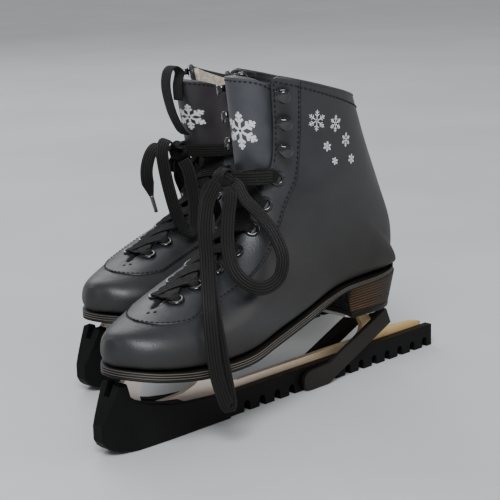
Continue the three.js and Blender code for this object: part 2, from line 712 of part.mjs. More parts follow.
// A free stretch of lace through hand-placed points. thin holds the directions across its thin side, at its ends.
function freeLace({ points, thin }) {
  const curve = new THREE.CatmullRomCurve3(points.map((p) => point(...p)));
  const steps = points.length * 2;
  const [a, b] = thin.map((d) => point(...d));
  return ribbon(curve.getSpacedPoints(steps), (i) => a.clone().lerp(b, i / steps));
}

const knots = { left: point(98, -8.5, 153), right: point(94, 2, 150) };
const outward = [-0.7, -0.7, 0.15];
const laceRoutes = {
  left: {
    lace_loop_a: {
      points: [
        [89.5, -10.5, 150.5], [82, -11, 141], [75, -15, 126], [71, -20, 109.5], [63, -29, 94], [53, -40.5, 81],
        [49, -46, 68], [49, -48.5, 50], [54.5, -50, 30], [58.5, -49.5, 29], [56.5, -47, 50], [55.5, -44.5, 68],
        [60, -36, 84], [68, -25.5, 97], [75.5, -15, 113], [80.5, -9, 128], [84.5, -6.5, 140], [89.5, -5.5, 148],
      ],
      thin: [outward, outward],
    },
    lace_loop_b: {
      points: [
        [101, -17.5, 149], [104, -21, 140], [111, -26.5, 130], [116, -33.5, 117], [116, -39.5, 104.3],
        [110, -41.5, 93.5], [97, -42, 90], [86, -39.5, 94], [80, -34, 103], [82, -27, 116], [88, -21.5, 131],
        [94.5, -17.5, 144],
      ],
      thin: [[-0.2, -0.9, 0.3], [-0.5, -0.8, 0.2]],
    },
    lace_end_a: {
      points: [
        [101, 3, 152], [112, 14, 149], [128, 24, 143], [142, 32, 132], [150, 36, 116], [153, 38.5, 98], [152, 40, 82],
      ],
      thin: [[-0.6, 0.7, 0.3], [-0.2, 0.95, 0.2]],
    },
    lace_end_b: {
      points: [[98, 5, 147], [107, 16, 139], [120, 25.5, 131], [132, 34, 121], [137, 38.5, 107], [138, 41, 92], [135, 43, 78]],
      thin: [[-0.6, 0.7, 0.3], [-0.2, 0.95, 0.2]],
    },
  },
  right: {
    lace_loop_a: {
      points: [
        [87, -7, 154], [81, -8, 158], [74, -10, 160], [67.5, -13.5, 155], [66, -16, 146], [67, -19, 130],
        [70, -22.5, 112], [75, -25, 101], [82, -25, 98.5], [88, -22, 106], [92, -17, 121], [93, -12, 137],
      ],
      thin: [[-0.3, -0.3, 0.9], [-0.7, -0.7, 0.15]],
    },
    lace_loop_b: {
      points: [
        [99, 9.5, 143], [112, 19, 140], [130, 27, 134], [147, 33, 124], [161, 38, 110], [161, 41, 97],
        [153, 42, 91], [145, 42, 96], [143, 40, 108], [139, 37, 119], [126, 31, 129], [108, 22, 136],
      ],
      thin: [[-0.2, 0.9, 0.3], [-0.5, 0.8, 0.2]],
    },
    lace_end_a: {
      points: [[84.5, 1, 153], [76, 0, 155.5], [68, -2, 152], [62.5, -3.5, 144], [61, -4.5, 136], [63, -5, 127], [67, -6, 112]],
      thin: [[-0.2, -0.2, 0.95], [-0.7, -0.7, 0.1]],
    },
    lace_end_b: {
      points: [[97, 4, 141], [105, 12, 131], [118, 22, 121], [130, 31, 112], [138, 36, 100], [140, 37.5, 86]],
      thin: [[-0.6, 0.7, 0.3], [-0.2, 0.95, 0.2]],
    },
  },
};

function pullLoop() {
  const { head, front, lean } = tongues.right;
  const x = topX(hingeStation) + front - lean;
  const route = [
    [x - 1.4, head - 13], [x - 2, head - 3], [x + 0.5, head + 6], [x - 5, head + 10.5], [x - 11, head + 7],
    [x - 12.5, head - 4], [x - 8, head - 20], [x - 0.5, head - 33], [x + 4, head - 37],
  ];
  const curve = new THREE.CatmullRomCurve3(route.map(([px, z]) => point(px, 0, z)));
  const steps = 20;
  return ribbon(curve.getSpacedPoints(steps), (i) => {
    const t = curve.getTangentAt(i / steps);
    return point(-t.z, 0, t.x);
  }, loopWebbing, 1.2);
}

// ---- One skate ----
function skatePieces(side) {
  toeSwing = side === "right" ? -1 : 1;
  const pieces = {
    toe_box: [toeBox(), "leather"],
    quarter_outer: [quarter(1), "leather"],
    quarter_inner: [quarter(-1), "leather"],
    eyestay_outer: [eyestay(1), "leather"],
    eyestay_inner: [eyestay(-1), "leather"],
    lining: [lining(), "fleece"],
    insole: [insole(), "fleece"],
    tongue: [tongueBelow(), "leather"],
    tongue_upper: [tongueAbove(side), "leather"],
    outsole: [outsole(), "sole"],
    heel_stack: [heelStack(), "heel"],
    heel_top_lift: [topLift(), "sole"],
    blade: [blade(), "steel"],
    sole_plate: [solePlate(), "steel"],
    heel_plate: [heelPlate(), "steel"],
    guard_front: [lengthened(guardFront()), "guard"],
    guard_rear: [lengthened(guardRear()), "guard"],
    guard_strap: [lengthened(guardStrap()), "guard"],
    lace_laced: [lacedStretch(knots[side]), "lace"],
  };
  hooks.forEach((k, i) => {
    pieces[`hook_outer_${i + 1}`] = [hook(1, k), "hook"];
    pieces[`hook_inner_${i + 1}`] = [hook(-1, k), "hook"];
  });
  for (const [name, route] of Object.entries(laceRoutes[side])) pieces[name] = [freeLace(route), "lace"];
  if (side === "right") pieces.pull_loop = [pullLoop(), "lace"];
  return pieces;
}

// Both skates are drawn as a left one, except for the free laces, and the right one is mirrored here.
function mirrored(geometry) {
  return shape(solid(geometry).mirror([0, 1, 0]));
}

function skate(side) {
  const group = new THREE.Group();
  for (const [name, [geometry, finish]] of Object.entries(skatePieces(side))) {
    const outward = shape(solid(geometry));
    const made = side === "right" && !(name in laceRoutes.right) ? mirrored(outward) : outward;
    const mesh = new THREE.Mesh(made, new THREE.MeshStandardMaterial(finishes[finish]));
    mesh.name = `${side}_${name}`;
    group.add(mesh);
  }
  return group;
}

const left = skate("left");
const right = skate("right");
right.position.set(pairSpacing[0], pairSpacing[1], 0);
right.rotation.z = pairYaw;

const group = new THREE.Group();
const pair = new THREE.Group();
pair.add(left, right);
group.add(pair);
group.updateMatrixWorld(true);

// The origin is set from the hard pieces alone, because the laces lie loose.
const extent = new THREE.Box3();
pair.traverse((o) => {
  if (o.isMesh && !o.name.includes("_lace_")) extent.expandByObject(o, true);
});
const middle = extent.getCenter(new THREE.Vector3());
pair.position.set(-middle.x, -middle.y, -extent.min.z);

export default group;
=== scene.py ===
# A pair of figure skates: laced leather boots on steel blades that stand in clip-on guards.
# Points are drawn in millimetres in one skate's own frame: x from toe to heel, -y outwards, z up from the floor.
import math

import bmesh
import bpy
import numpy as np
from mathutils import Matrix, Vector


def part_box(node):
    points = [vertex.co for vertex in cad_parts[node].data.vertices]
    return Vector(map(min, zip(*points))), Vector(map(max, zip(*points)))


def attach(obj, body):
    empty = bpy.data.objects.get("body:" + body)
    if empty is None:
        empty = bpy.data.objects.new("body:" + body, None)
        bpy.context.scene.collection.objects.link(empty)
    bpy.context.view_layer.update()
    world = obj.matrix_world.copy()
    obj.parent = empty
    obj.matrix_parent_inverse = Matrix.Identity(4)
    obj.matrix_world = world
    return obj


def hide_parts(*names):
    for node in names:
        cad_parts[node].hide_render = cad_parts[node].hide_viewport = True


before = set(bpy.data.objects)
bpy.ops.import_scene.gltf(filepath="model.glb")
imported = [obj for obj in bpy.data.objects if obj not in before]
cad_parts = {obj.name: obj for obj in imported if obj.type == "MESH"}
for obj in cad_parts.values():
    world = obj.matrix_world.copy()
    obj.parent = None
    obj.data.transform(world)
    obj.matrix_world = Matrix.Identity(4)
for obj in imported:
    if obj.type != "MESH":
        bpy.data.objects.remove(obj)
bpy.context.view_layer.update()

MM = 0.001
SIDES = ("left", "right")
PAIR_STEP = np.array([67.5, 100.5, 0.0])
PAIR_YAW = math.radians(2.5)
sole_low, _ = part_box("left_outsole")
blade_low, blade_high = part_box("left_blade")
LEFT_ORIGIN = np.array([sole_low[0] - 4 * MM, (blade_low[1] + blade_high[1]) / 2, 0.0])


def to_world(points, side):
    """Points of one skate's own frame, in mm, in the row frame, in metres."""
    p = np.array(points, float).reshape(-1, 3)
    if side == "right":
        c, s = math.cos(PAIR_YAW), math.sin(PAIR_YAW)
        p = np.column_stack([c * p[:, 0] - s * p[:, 1], s * p[:, 0] + c * p[:, 1], p[:, 2]]) + PAIR_STEP
    return p * MM + LEFT_ORIGIN


def placed(name, data):
    """A new object in the scene."""
    obj = bpy.data.objects.new(name, data)
    bpy.context.scene.collection.objects.link(obj)
    return obj


# ---- Camera and light ----
def make_camera():
    data = bpy.data.cameras.new("camera")
    data.sensor_width = 36
    data.lens = 107.57
    data.clip_end = 20
    camera = placed("camera", data)
    right = Vector((0.70813, -0.70557, -0.02684))
    up = Vector((0.18316, 0.14685, 0.97205))
    back = right.cross(up)
    turn = Matrix((right, up, back)).transposed().to_4x4()
    where = to_world([[-516.71, -654.44, 321.65]], "left")[0]
    camera.matrix_world = Matrix.Translation(Vector(where)) @ turn
    bpy.context.scene.camera = camera


def area_light(name, place, size, power, colour):
    """A square light that shines on the middle of the pair."""
    data = bpy.data.lights.new(name, "AREA")
    data.size = size
    data.energy = power
    data.color = colour
    light = placed(name, data)
    light.location = place
    light.rotation_euler = (Vector((0, 0, 0.1)) - Vector(place)).to_track_quat("-Z", "Y").to_euler()


make_camera()
area_light("key light", (-1.1, -0.9, 1.5), 0.8, 34, (0.93, 0.965, 1.0))
area_light("side light", (1.2, -1.3, 0.9), 1.0, 5, (1.0, 0.93, 0.84))
area_light("back light", (0.6, 1.6, 1.3), 1.2, 12, (0.95, 0.97, 1.0))
world = bpy.data.worlds.new("studio")
world.use_nodes = True
sky = world.node_tree.nodes["Background"]
sky.inputs["Color"].default_value = (0.93, 0.94, 0.96, 1)
sky.inputs["Strength"].default_value = 0.5
bpy.context.scene.world = world


# ---- Materials ----
def socket(tree, name, way, kind, value=None):
    made = tree.interface.new_socket(name=name, in_out=way, socket_type=kind)
    if value is not None:
        made.default_value = value
    return made


def linked(tree, kind, **inputs):
    """A node of that kind, with its settings and its inputs.

    An input is given by name, with _ for a space, or as i and its number. An output socket is linked to it,
    and anything else is its value.
    """
    node = tree.nodes.new(kind)
    for key, value in inputs.items():
        if hasattr(node, key) and key not in [s.name for s in node.inputs]:
            setattr(node, key, value)
            continue
        numbered = key[0] == "i" and key[1:].isdigit()
        target = node.inputs[int(key[1:]) if numbered else key.replace("_", " ")]
        if isinstance(value, bpy.types.NodeSocket):
            tree.links.new(value, target)
        else:
            target.default_value = value
    return node


def math_of(tree, a, b, operation="ADD"):
    return linked(tree, "ShaderNodeMath", operation=operation, i0=a, i1=b).outputs[0]


def shader_group(name, inputs):
    """A node group that puts out a height and a tone. An input with no value of its own is a vector."""
    tree = bpy.data.node_groups.new(name, "ShaderNodeTree")
    for label, value in inputs.items():
        socket(tree, label, "INPUT", "NodeSocketVector" if value is None else "NodeSocketFloat", value)
    for label in ("Height", "Tone"):
        socket(tree, label, "OUTPUT", "NodeSocketFloat")
    return tree, tree.nodes.new("NodeGroupInput"), tree.nodes.new("NodeGroupOutput")


def grain_group():
    """Pebbled grain: small rounded cells with a softer unevenness between them."""
    tree, inside, out = shader_group("Grain", {"Vector": None, "Scale": 900.0})
    cells = linked(tree, "ShaderNodeTexVoronoi", Vector=inside.outputs["Vector"], Scale=inside.outputs["Scale"])
    slow = math_of(tree, inside.outputs["Scale"], 0.06, "MULTIPLY")
    cloud = linked(tree, "ShaderNodeTexNoise", Vector=inside.outputs["Vector"], Scale=slow, Detail=5.0)
    height = math_of(tree, math_of(tree, cells.outputs["Distance"], -0.55, "MULTIPLY"), cloud.outputs["Fac"])
    tree.links.new(height, out.inputs["Height"])
    tree.links.new(cloud.outputs["Fac"], out.inputs["Tone"])
    return tree


def weave_group():
    """A flat woven cord: ribs along it and slanted picks across it.

    The UV map runs across it in widths and along it in metres.
    """
    tree, inside, out = shader_group("Weave", {"Ribs": 6.0, "Pick": 1400.0})
    uv = linked(tree, "ShaderNodeSeparateXYZ", Vector=linked(tree, "ShaderNodeUVMap", uv_map="along").outputs[0])
    turns = math_of(tree, math_of(tree, uv.outputs[0], inside.outputs["Ribs"], "MULTIPLY"), 2 * math.pi, "MULTIPLY")
    rib = linked(tree, "ShaderNodeMath", operation="COSINE", i0=turns).outputs[0]
    steps = math_of(tree, uv.outputs[1], inside.outputs["Pick"], "MULTIPLY")
    slant = math_of(tree, steps, math_of(tree, rib, 1.2, "MULTIPLY"))
    pick = linked(tree, "ShaderNodeMath", operation="SINE", i0=math_of(tree, slant, 2 * math.pi, "MULTIPLY")).outputs[0]
    height = math_of(tree, math_of(tree, rib, -0.7, "MULTIPLY"), math_of(tree, pick, 0.3, "MULTIPLY"))
    tree.links.new(height, out.inputs["Height"])
    # the tone follows the height: painted highlight on the raised ribs and painted shade in the grooves
    painted_relief_light = math_of(tree, math_of(tree, height, 0.5, "MULTIPLY"), 0.5)
    tree.links.new(painted_relief_light, out.inputs["Tone"])
    return tree


GRAIN = grain_group()
WEAVE = weave_group()


def material(name, colour, roughness, **fixed):
    """A material with its Principled BSDF's fixed inputs set. Returns it with its tree and shader."""
    made = bpy.data.materials.new(name)
    made.use_nodes = True
    made.diffuse_color = (*colour, 1)
    shader = made.node_tree.nodes["Principled BSDF"]
    shader.inputs["Base Color"].default_value = (*colour, 1)
    shader.inputs["Roughness"].default_value = roughness
    for key, value in fixed.items():
        shader.inputs[key.replace("_", " ")].default_value = value
    return made, made.node_tree, shader


def object_coordinates(tree):
    return tree.nodes.new("ShaderNodeTexCoord").outputs["Object"]


def two_tone(tree, fac, low, high, start=0.3, end=0.7):
    ramp = tree.nodes.new("ShaderNodeValToRGB")
    ramp.color_ramp.elements[0].position = start
    ramp.color_ramp.elements[0].color = (*low, 1)
    ramp.color_ramp.elements[1].position = end
    ramp.color_ramp.elements[1].color = (*high, 1)
    tree.links.new(fac, ramp.inputs["Fac"])
    return ramp.outputs["Color"]


def finished(tree, shader, colour, height, distance, rough=None):
    """Links a material's colour, its fine relief and, where it varies, its roughness."""
    tree.links.new(colour, shader.inputs["Base Color"])
    if rough:
        tree.links.new(rough, shader.inputs["Roughness"])
    bump = linked(tree, "ShaderNodeBump", Height=height, Distance=distance, Strength=1.0)
    tree.links.new(bump.outputs[0], shader.inputs["Normal"])


def ranged(tree, value, low, high, out_low=0.0, out_high=1.0):
    return linked(tree, "ShaderNodeMapRange", i0=value, i1=low, i2=high, i3=out_low, i4=out_high).outputs[0]


def leather_material(name, low, high, roughness, scale, painted_reflection_shade_tint=None):
    made, tree, shader = material(name, high, roughness, Specular_IOR_Level=0.62)
    where = object_coordinates(tree)
    grain = linked(tree, "ShaderNodeGroup", node_tree=GRAIN, Vector=where, Scale=scale)
    colour = two_tone(tree, grain.outputs["Tone"], low, high)
    if painted_reflection_shade_tint:
        # painted reflection of an orange-brown floor on the low rear of the boot, and painted shade in a band just
        # above the sole all round, both mixed in as dark brown
        at = linked(tree, "ShaderNodeSeparateXYZ", Vector=where)
        low_down, far_back = ranged(tree, at.outputs[2], 0.135, 0.085), ranged(tree, at.outputs[0], -0.1, -0.01)
        rear = math_of(tree, low_down, far_back, "MULTIPLY")
        # the mask of the painted reflection and painted shade
        painted_reflection_shade_mask = math_of(tree, rear, ranged(tree, at.outputs[2], 0.072, 0.056), "MAXIMUM")
        cloud = linked(tree, "ShaderNodeTexNoise", Vector=where, Scale=14.0, Detail=2.0).outputs["Fac"]
        fac = math_of(tree, painted_reflection_shade_mask, ranged(tree, cloud, 0.3, 0.7, 0.75, 1.0), "MULTIPLY")
        mix = linked(tree, "ShaderNodeMix", data_type="RGBA", i0=fac)
        tree.links.new(colour, mix.inputs[6])
        mix.inputs[7].default_value = (*painted_reflection_shade_tint, 1)
        colour = mix.outputs[2]
    rough = ranged(tree, grain.outputs["Tone"], 0.3, 0.7, roughness - 0.06, roughness + 0.08)
    if painted_reflection_shade_tint:
        rough = math_of(tree, rough, math_of(tree, fac, 0.3, "MULTIPLY"))
    finished(tree, shader, colour, grain.outputs["Height"], 0.00014, rough)
    return made


def fleece_material():
    made, tree, shader = material("fleece", (0.6, 0.53, 0.42), 0.95, Sheen_Weight=0.6, Sheen_Roughness=0.5)
    where = object_coordinates(tree)
    tufts = linked(tree, "ShaderNodeTexNoise", Vector=where, Scale=420.0, Detail=6.0, Roughness=0.7)
    colour = two_tone(tree, tufts.outputs["Fac"], (0.36, 0.3, 0.22), (0.72, 0.65, 0.53), 0.35, 0.65)
    finished(tree, shader, colour, tufts.outputs["Fac"], 0.0012)
    return made


def woven_material(name, low, high, ribs, pick, depth):
    made, tree, shader = material(name, high, 0.85, Specular_IOR_Level=0.15, Sheen_Weight=0.08, Sheen_Roughness=0.4)
    weave = linked(tree, "ShaderNodeGroup", node_tree=WEAVE, Ribs=ribs, Pick=pick)
    colour = two_tone(tree, weave.outputs["Tone"], low, high, 0.15, 0.85)
    finished(tree, shader, colour, weave.outputs["Height"], depth)
    return made


def plain_material(name, low, high, roughness, scale, depth, **fixed):
    """Moulded or cast stuff: a slow change of tone, and a fine unevenness."""
    made, tree, shader = material(name, high, roughness, **fixed)
    where = object_coordinates(tree)
    slow = linked(tree, "ShaderNodeTexNoise", Vector=where, Scale=scale * 0.08, Detail=3.0)
    fine = linked(tree, "ShaderNodeTexNoise", Vector=where, Scale=scale, Detail=4.0)
    rough = ranged(tree, slow.outputs["Fac"], 0.3, 0.7, roughness - 0.05, roughness + 0.06)
    finished(tree, shader, two_tone(tree, slow.outputs["Fac"], low, high), fine.outputs["Fac"], depth, rough)
    return made


def steel_material():
    """Steel with fine grinding lines along the blade, and a golden painted reflection that deepens to the tail."""
    made, tree, shader = material("blade steel", (0.78, 0.66, 0.5), 0.34, Metallic=0.6)
    where = object_coordinates(tree)
    stretched = linked(tree, "ShaderNodeMapping", Vector=where, Scale=(12.0, 900.0, 900.0))
    lines = linked(tree, "ShaderNodeTexNoise", Vector=stretched.outputs[0], Scale=1.0, Detail=4.0)
    at = linked(tree, "ShaderNodeSeparateXYZ", Vector=where)
    toward_tail = ranged(tree, at.outputs[0], -0.15, 0.15)
    # painted reflection: the golden tint, deeper towards the tail
    colour = two_tone(tree, toward_tail, (0.88, 0.76, 0.68), (0.88, 0.61, 0.26), 0.2, 0.8)
    rough = ranged(tree, lines.outputs["Fac"], 0.3, 0.7, 0.4, 0.56)
    finished(tree, shader, colour, lines.outputs["Fac"], 0.00003, rough)
    return made


def heel_material():
    """Stacked board: layers with pale joints between them, orange brown at the front and near black at the back."""
    made, tree, shader = material("stacked heel", (0.05, 0.03, 0.015), 0.48, Specular_IOR_Level=0.2)
    where = object_coordinates(tree)
    stretched = linked(tree, "ShaderNodeMapping", Vector=where, Scale=(30.0, 30.0, 700.0))
    streaks = linked(tree, "ShaderNodeTexNoise", Vector=stretched.outputs[0], Scale=1.0, Detail=4.0)
    layer = linked(tree, "ShaderNodeUVMap", uv_map="along")
    at = linked(tree, "ShaderNodeSeparateXYZ", Vector=layer.outputs[0])
    brown = two_tone(tree, streaks.outputs["Fac"], (0.017, 0.0078, 0.003), (0.062, 0.0275, 0.0088), 0.35, 0.7)
    wave = math_of(tree, math_of(tree, at.outputs[1], 2 * math.pi * HEEL_LAYERS, "MULTIPLY"), 0.0, "COSINE")
    joint = linked(tree, "ShaderNodeMix", data_type="RGBA", i0=ranged(tree, wave, 0.7, 0.95, 0.0, 0.85))
    tree.links.new(brown, joint.inputs[6])
    joint.inputs[7].default_value = (0.22, 0.138, 0.066, 1)
    black = math_of(tree, ranged(tree, at.outputs[0], 0.28, 0.75), ranged(tree, at.outputs[0], 0.09, 0.05), "MAXIMUM")
    mix = linked(tree, "ShaderNodeMix", data_type="RGBA", i0=black)
    tree.links.new(joint.outputs[2], mix.inputs[6])
    mix.inputs[7].default_value = (0.006, 0.0055, 0.005, 1)
    height = math_of(tree, streaks.outputs["Fac"], math_of(tree, wave, -0.4, "MULTIPLY"))
    finished(tree, shader, mix.outputs[2], height, 0.0003)
    return made


HEEL_LAYERS = 10
# The last colour is the dark brown of the painted reflection and painted shade low on the boot.
LEATHER = leather_material(
    "boot leather", (0.009, 0.0098, 0.012), (0.017, 0.0185, 0.022), 0.41, 1000.0, (0.0065, 0.0042, 0.002)
)
FACING_LEATHER = leather_material("facing leather", (0.01, 0.0108, 0.0132), (0.0185, 0.02, 0.0238), 0.43, 1000.0)
# The two tongue leathers are one leather: the darker copy, used on the right tongue's top, is painted shade.
SHADED_TONGUE_LEATHER = leather_material("tongue leather with painted shade", (0.02, 0.0165, 0.018), (0.036, 0.031, 0.034), 0.47, 900.0)
TONGUE_LEATHER = leather_material("tongue leather", (0.03, 0.031, 0.037), (0.056, 0.057, 0.067), 0.43, 900.0)
FLEECE = fleece_material()
LACE = woven_material("lace weave", (0.003, 0.0027, 0.0024), (0.019, 0.0168, 0.015), 5.0, 900.0, 0.00045)
WEBBING = woven_material("loop webbing", (0.006, 0.006, 0.006), (0.026, 0.025, 0.024), 7.0, 800.0, 0.0003)
THREAD = plain_material("thread", (0.0015, 0.0015, 0.002), (0.004, 0.004, 0.005), 0.8, 900.0, 0.0001)
SOLE = plain_material(
    "sole polymer", (0.0045, 0.004, 0.0036), (0.009, 0.008, 0.007), 0.45, 600.0, 0.00008, Specular_IOR_Level=0.22
)
# painted highlight for the crests of the sole's ribs
RIB_HIGHLIGHT = plain_material("painted rib highlight", (0.09, 0.075, 0.06), (0.18, 0.155, 0.125), 0.45, 600.0, 0.00008)
HEEL = heel_material()
STEEL = steel_material()
PLATE_STEEL = plain_material(
    "plate steel", (0.5, 0.48, 0.45), (0.62, 0.6, 0.56), 0.36, 500.0, 0.00005, Metallic=1.0
)
GUARD = plain_material(
    "guard plastic", (0.0035, 0.0035, 0.0035), (0.0065, 0.0065, 0.006), 0.62, 500.0, 0.00025, Specular_IOR_Level=0.12
)
STRAP = plain_material(
    "strap plastic", (0.012, 0.0104, 0.0082), (0.021, 0.0184, 0.0148), 0.5, 500.0, 0.00015, Specular_IOR_Level=0.2
)
ENAMEL = plain_material(
    "black enamel", (0.004, 0.004, 0.005), (0.009, 0.009, 0.01), 0.16, 300.0, 0.00002, Coat_Weight=0.6
)
TIP = plain_material("lace tip", (0.05, 0.048, 0.045), (0.1, 0.097, 0.09), 0.3, 300.0, 0.00003)
PRINT = plain_material("white print", (0.62, 0.62, 0.63), (0.78, 0.78, 0.79), 0.5, 400.0, 0.00003)
FLOOR = plain_material("pale floor", (0.60, 0.61, 0.62), (0.66, 0.67, 0.68), 0.6, 60.0, 0.0002)


# ---- Meshes ----
def grid_faces(rows, columns, close=False):
    """Quads over a grid of points with that many rows and columns. close joins the last column to the first."""
    wide = columns if close else columns - 1
    i, j = np.meshgrid(np.arange(rows - 1), np.arange(wide), indexing="ij")
    a = i * columns + j
    b = i * columns + (j + 1) % columns
    return np.stack([a, b, b + columns, a + columns], -1).reshape(-1, 4).tolist()


def edited(mesh, edit):
    """Runs an edit on the mesh's faces and vertices."""
    bm = bmesh.new()
    bm.from_mesh(mesh)
    edit(bm)
    bm.to_mesh(mesh)
    bm.free()


def face_outwards(obj):
    edited(obj.data, lambda bm: bmesh.ops.recalc_face_normals(bm, faces=bm.faces))


def piece(name, points, faces, materials, slot="leather", body="skate", uv=None, weld=0.0):
    """A mesh object from points in a skate's own frame. The name starts with the skate's side."""
    side = name.split("_")[0]
    mesh = bpy.data.meshes.new(name)
    mesh.from_pydata(to_world(points, side).tolist(), [], faces)
    if uv is not None:
        layer = mesh.uv_layers.new(name="along")
        index = np.empty(len(mesh.loops), int)
        mesh.loops.foreach_get("vertex_index", index)
        layer.data.foreach_set("uv", np.array(uv, float)[index].ravel())
    for m in materials if isinstance(materials, (list, tuple)) else [materials]:
        mesh.materials.append(m)
    if weld:
        edited(mesh, lambda bm: bmesh.ops.remove_doubles(bm, verts=bm.verts, dist=weld * MM))
    mesh.polygons.foreach_set("use_smooth", [True] * len(mesh.polygons))
    mesh.update()
    obj = placed(name, mesh)
    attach(obj, f"{side}_{body}")
    return obj


def bevelled(obj, width, angle, segments=2):
    edge = obj.modifiers.new("edge", "BEVEL")
    edge.width = width * MM
    edge.segments = segments
    edge.limit_method = "ANGLE"
    edge.angle_limit = math.radians(angle)


def thickened(obj, thickness, inner=0, rim=0, bevel=0.0):
    """Gives an open skin a wall on its inner side."""
    wall = obj.modifiers.new("wall", "SOLIDIFY")
    wall.thickness = thickness * MM
    wall.offset = -1
    wall.use_even_offset = False
    wall.material_offset = inner
    wall.material_offset_rim = rim
    if bevel:
        bevelled(obj, bevel, 50)


def hermite(pairs, at):
    """Value of the smooth curve through (position, value) pairs."""
    xs, ys = np.array(pairs, float).T
    slope = np.empty_like(ys)
    slope[1:-1] = (ys[2:] - ys[:-2]) / (xs[2:] - xs[:-2])
    slope[0] = (ys[1] - ys[0]) / (xs[1] - xs[0])
    slope[-1] = (ys[-1] - ys[-2]) / (xs[-1] - xs[-2])
    t = np.clip(at, xs[0], xs[-1])
    i = np.clip(np.searchsorted(xs, t, side="right") - 1, 0, len(xs) - 2)
    h = xs[i + 1] - xs[i]
    u = (t - xs[i]) / h
    return (
        ys[i] * (1 + 2 * u) * (1 - u) ** 2 + ys[i + 1] * u * u * (3 - 2 * u)
        + h * u * (1 - u) * (slope[i] * (1 - u) - slope[i + 1] * u)
    )


def unit(v):
    v = np.asarray(v, float)
    return v / np.maximum(np.linalg.norm(v, axis=-1, keepdims=True), 1e-12)


def run_along(path):
    """The distance along a path at each of its points."""
    return np.concatenate([[0], np.cumsum(np.linalg.norm(np.diff(path, axis=0), axis=1))])


def smooth_path(points, step):
    """A rounded path through the points, sampled at an even distance."""
    p = np.array(points, float)
    p = np.vstack([2 * p[0] - p[1], p, 2 * p[-1] - p[-2]])
    out = []
    for i in range(1, len(p) - 2):
        a, b, c, d = p[i - 1 : i + 3]
        t = np.linspace(0, 1, 24, endpoint=False)[:, None]
        out.append(0.5 * (2 * b + (c - a) * t + (2 * a - 5 * b + 4 * c - d) * t**2 + (3 * b - a - 3 * c + d) * t**3))
    dense = np.vstack([*out, p[-2:-1]])
    run = run_along(dense)
    count = max(int(run[-1] / step), 3)
    at = np.linspace(0, run[-1], count + 1)
    return np.column_stack([np.interp(at, run, dense[:, c]) for c in range(3)])


def loft(rings, ends=None):
    """Points and faces over closed rings of one length, with a fan from a middle point over each end."""
    rows, around = len(rings), len(rings[0])
    ends = [rings[0].mean(0), rings[-1].mean(0)] if ends is None else ends
    points = np.vstack([*rings, *[end[None] for end in ends]])
    faces = grid_faces(rows, around, close=True)
    first, low_row = rows * around, (rows - 1) * around
    for j in range(around):
        k = (j + 1) % around
        faces.append([first, k, j])
        faces.append([first + 1, low_row + j, low_row + k])
    return points, faces


def ribbon(path, thin, width, thickness, corner=4.0, around=16):
    """A flat band along a path.

    thin is the direction across its thin side, and width and thickness may change along it.
    """
    path = np.array(path, float)
    n = len(path)
    tangent = unit(np.gradient(path, axis=0))
    thin = np.broadcast_to(np.array(thin, float), path.shape)
    thin = unit(thin - (thin * tangent).sum(1)[:, None] * tangent)
    wide = np.cross(tangent, thin)
    w = np.broadcast_to(np.array(width, float), n)
    d = np.broadcast_to(np.array(thickness, float), n)
    a = np.linspace(0, 2 * math.pi, around, endpoint=False)
    ca = np.sign(np.cos(a)) * np.abs(np.cos(a)) ** (2 / corner)
    sa = np.sign(np.sin(a)) * np.abs(np.sin(a)) ** (2 / corner)
    across = wide[:, None] * (w[:, None] / 2 * ca)[..., None]
    rings = path[:, None] + across + thin[:, None] * (d[:, None] / 2 * sa)[..., None]
    run = run_along(path) * MM
    uv = np.stack(np.broadcast_arrays((ca / 2 + 0.5)[None], run[:, None]), -1).reshape(-1, 2)
    uv = np.vstack([uv, [[0.5, 0]], [[0.5, run[-1]]]])
    return *loft(rings, path[[0, -1]]), uv


def band(name, path, thin, width, thickness, mat, slot="leather", body="skate", **shape):
    points, faces, uv = ribbon(path, thin, width, thickness, **shape)
    return piece(name, points, faces, mat, slot, body, uv)


def joined(name, parts, mat, slot):
    """One piece of several (points, faces, uv) parts."""
    points, faces, uvs, start = [], [], [], 0
    for p, f, u in parts:
        points.append(p)
        uvs.append(u)
        faces += [[i + start for i in face] for face in f]
        start += len(p)
    return piece(name, np.vstack(points), faces, mat, slot, uv=np.vstack(uvs))


# ---- The last: every soft piece of the boot follows this surface ----
SOLE_TOP = [
    (4, 55.5), (20, 53.2), (42, 51), (65, 50), (86, 50.4), (108, 54), (128, 57.6), (147, 61.6), (168, 67.2),
    (186, 70.8), (220, 72.2), (254, 73.6),
]
# top x, top z, bottom x, bottom z (0 where it stands on the sole), half width, shift, belly, top round, bottom round
STATIONS = np.array([
    [6.5, 71.5, 6, 0, 8, -5.5, 0.55, 2.2, 2.6],
    [11.5, 75, 10, 0, 16.2, -6.4, 0.6, 2.2, 3],
    [20, 77.5, 18, 0, 24, -6.7, 0.62, 2.2, 3.2],
    [33, 80.5, 34, 0, 32.2, -5.7, 0.64, 2.1, 3.4],
    [52, 86, 60, 0, 39, -2.6, 0.68, 2.05, 3.6],
    [73, 93.5, 90, 0, 40.3, -0.3, 0.66, 2, 3.6],
    [92, 103.5, 119, 0, 35.5, -0.8, 0.62, 2, 3.4],
    [107, 116, 148, 0, 31.5, -1.4, 0.58, 2, 3.2],
    [116, 130, 180, 0, 29.8, -0.6, 0.55, 2, 3],
    [121, 144, 210, 0, 30.2, 0, 0.52, 2.05, 2.7],
    [124, 157, 237, 0, 30.8, 0, 0.5, 2.1, 2.4],
    [125.5, 168, 251.8, 75, 31.8, 0, 0.5, 2.15, 2.1],
    [126, 180, 253.2, 96, 32.8, 0, 0.5, 2.2, 1.95],
    [126, 191, 241.5, 124, 34, 0, 0.5, 2.2, 1.85],
    [125.5, 202, 226, 157, 35.5, 0, 0.5, 2.2, 1.8],
    [125, 214, 212, 189, 37, 0, 0.5, 2.2, 1.8],
])
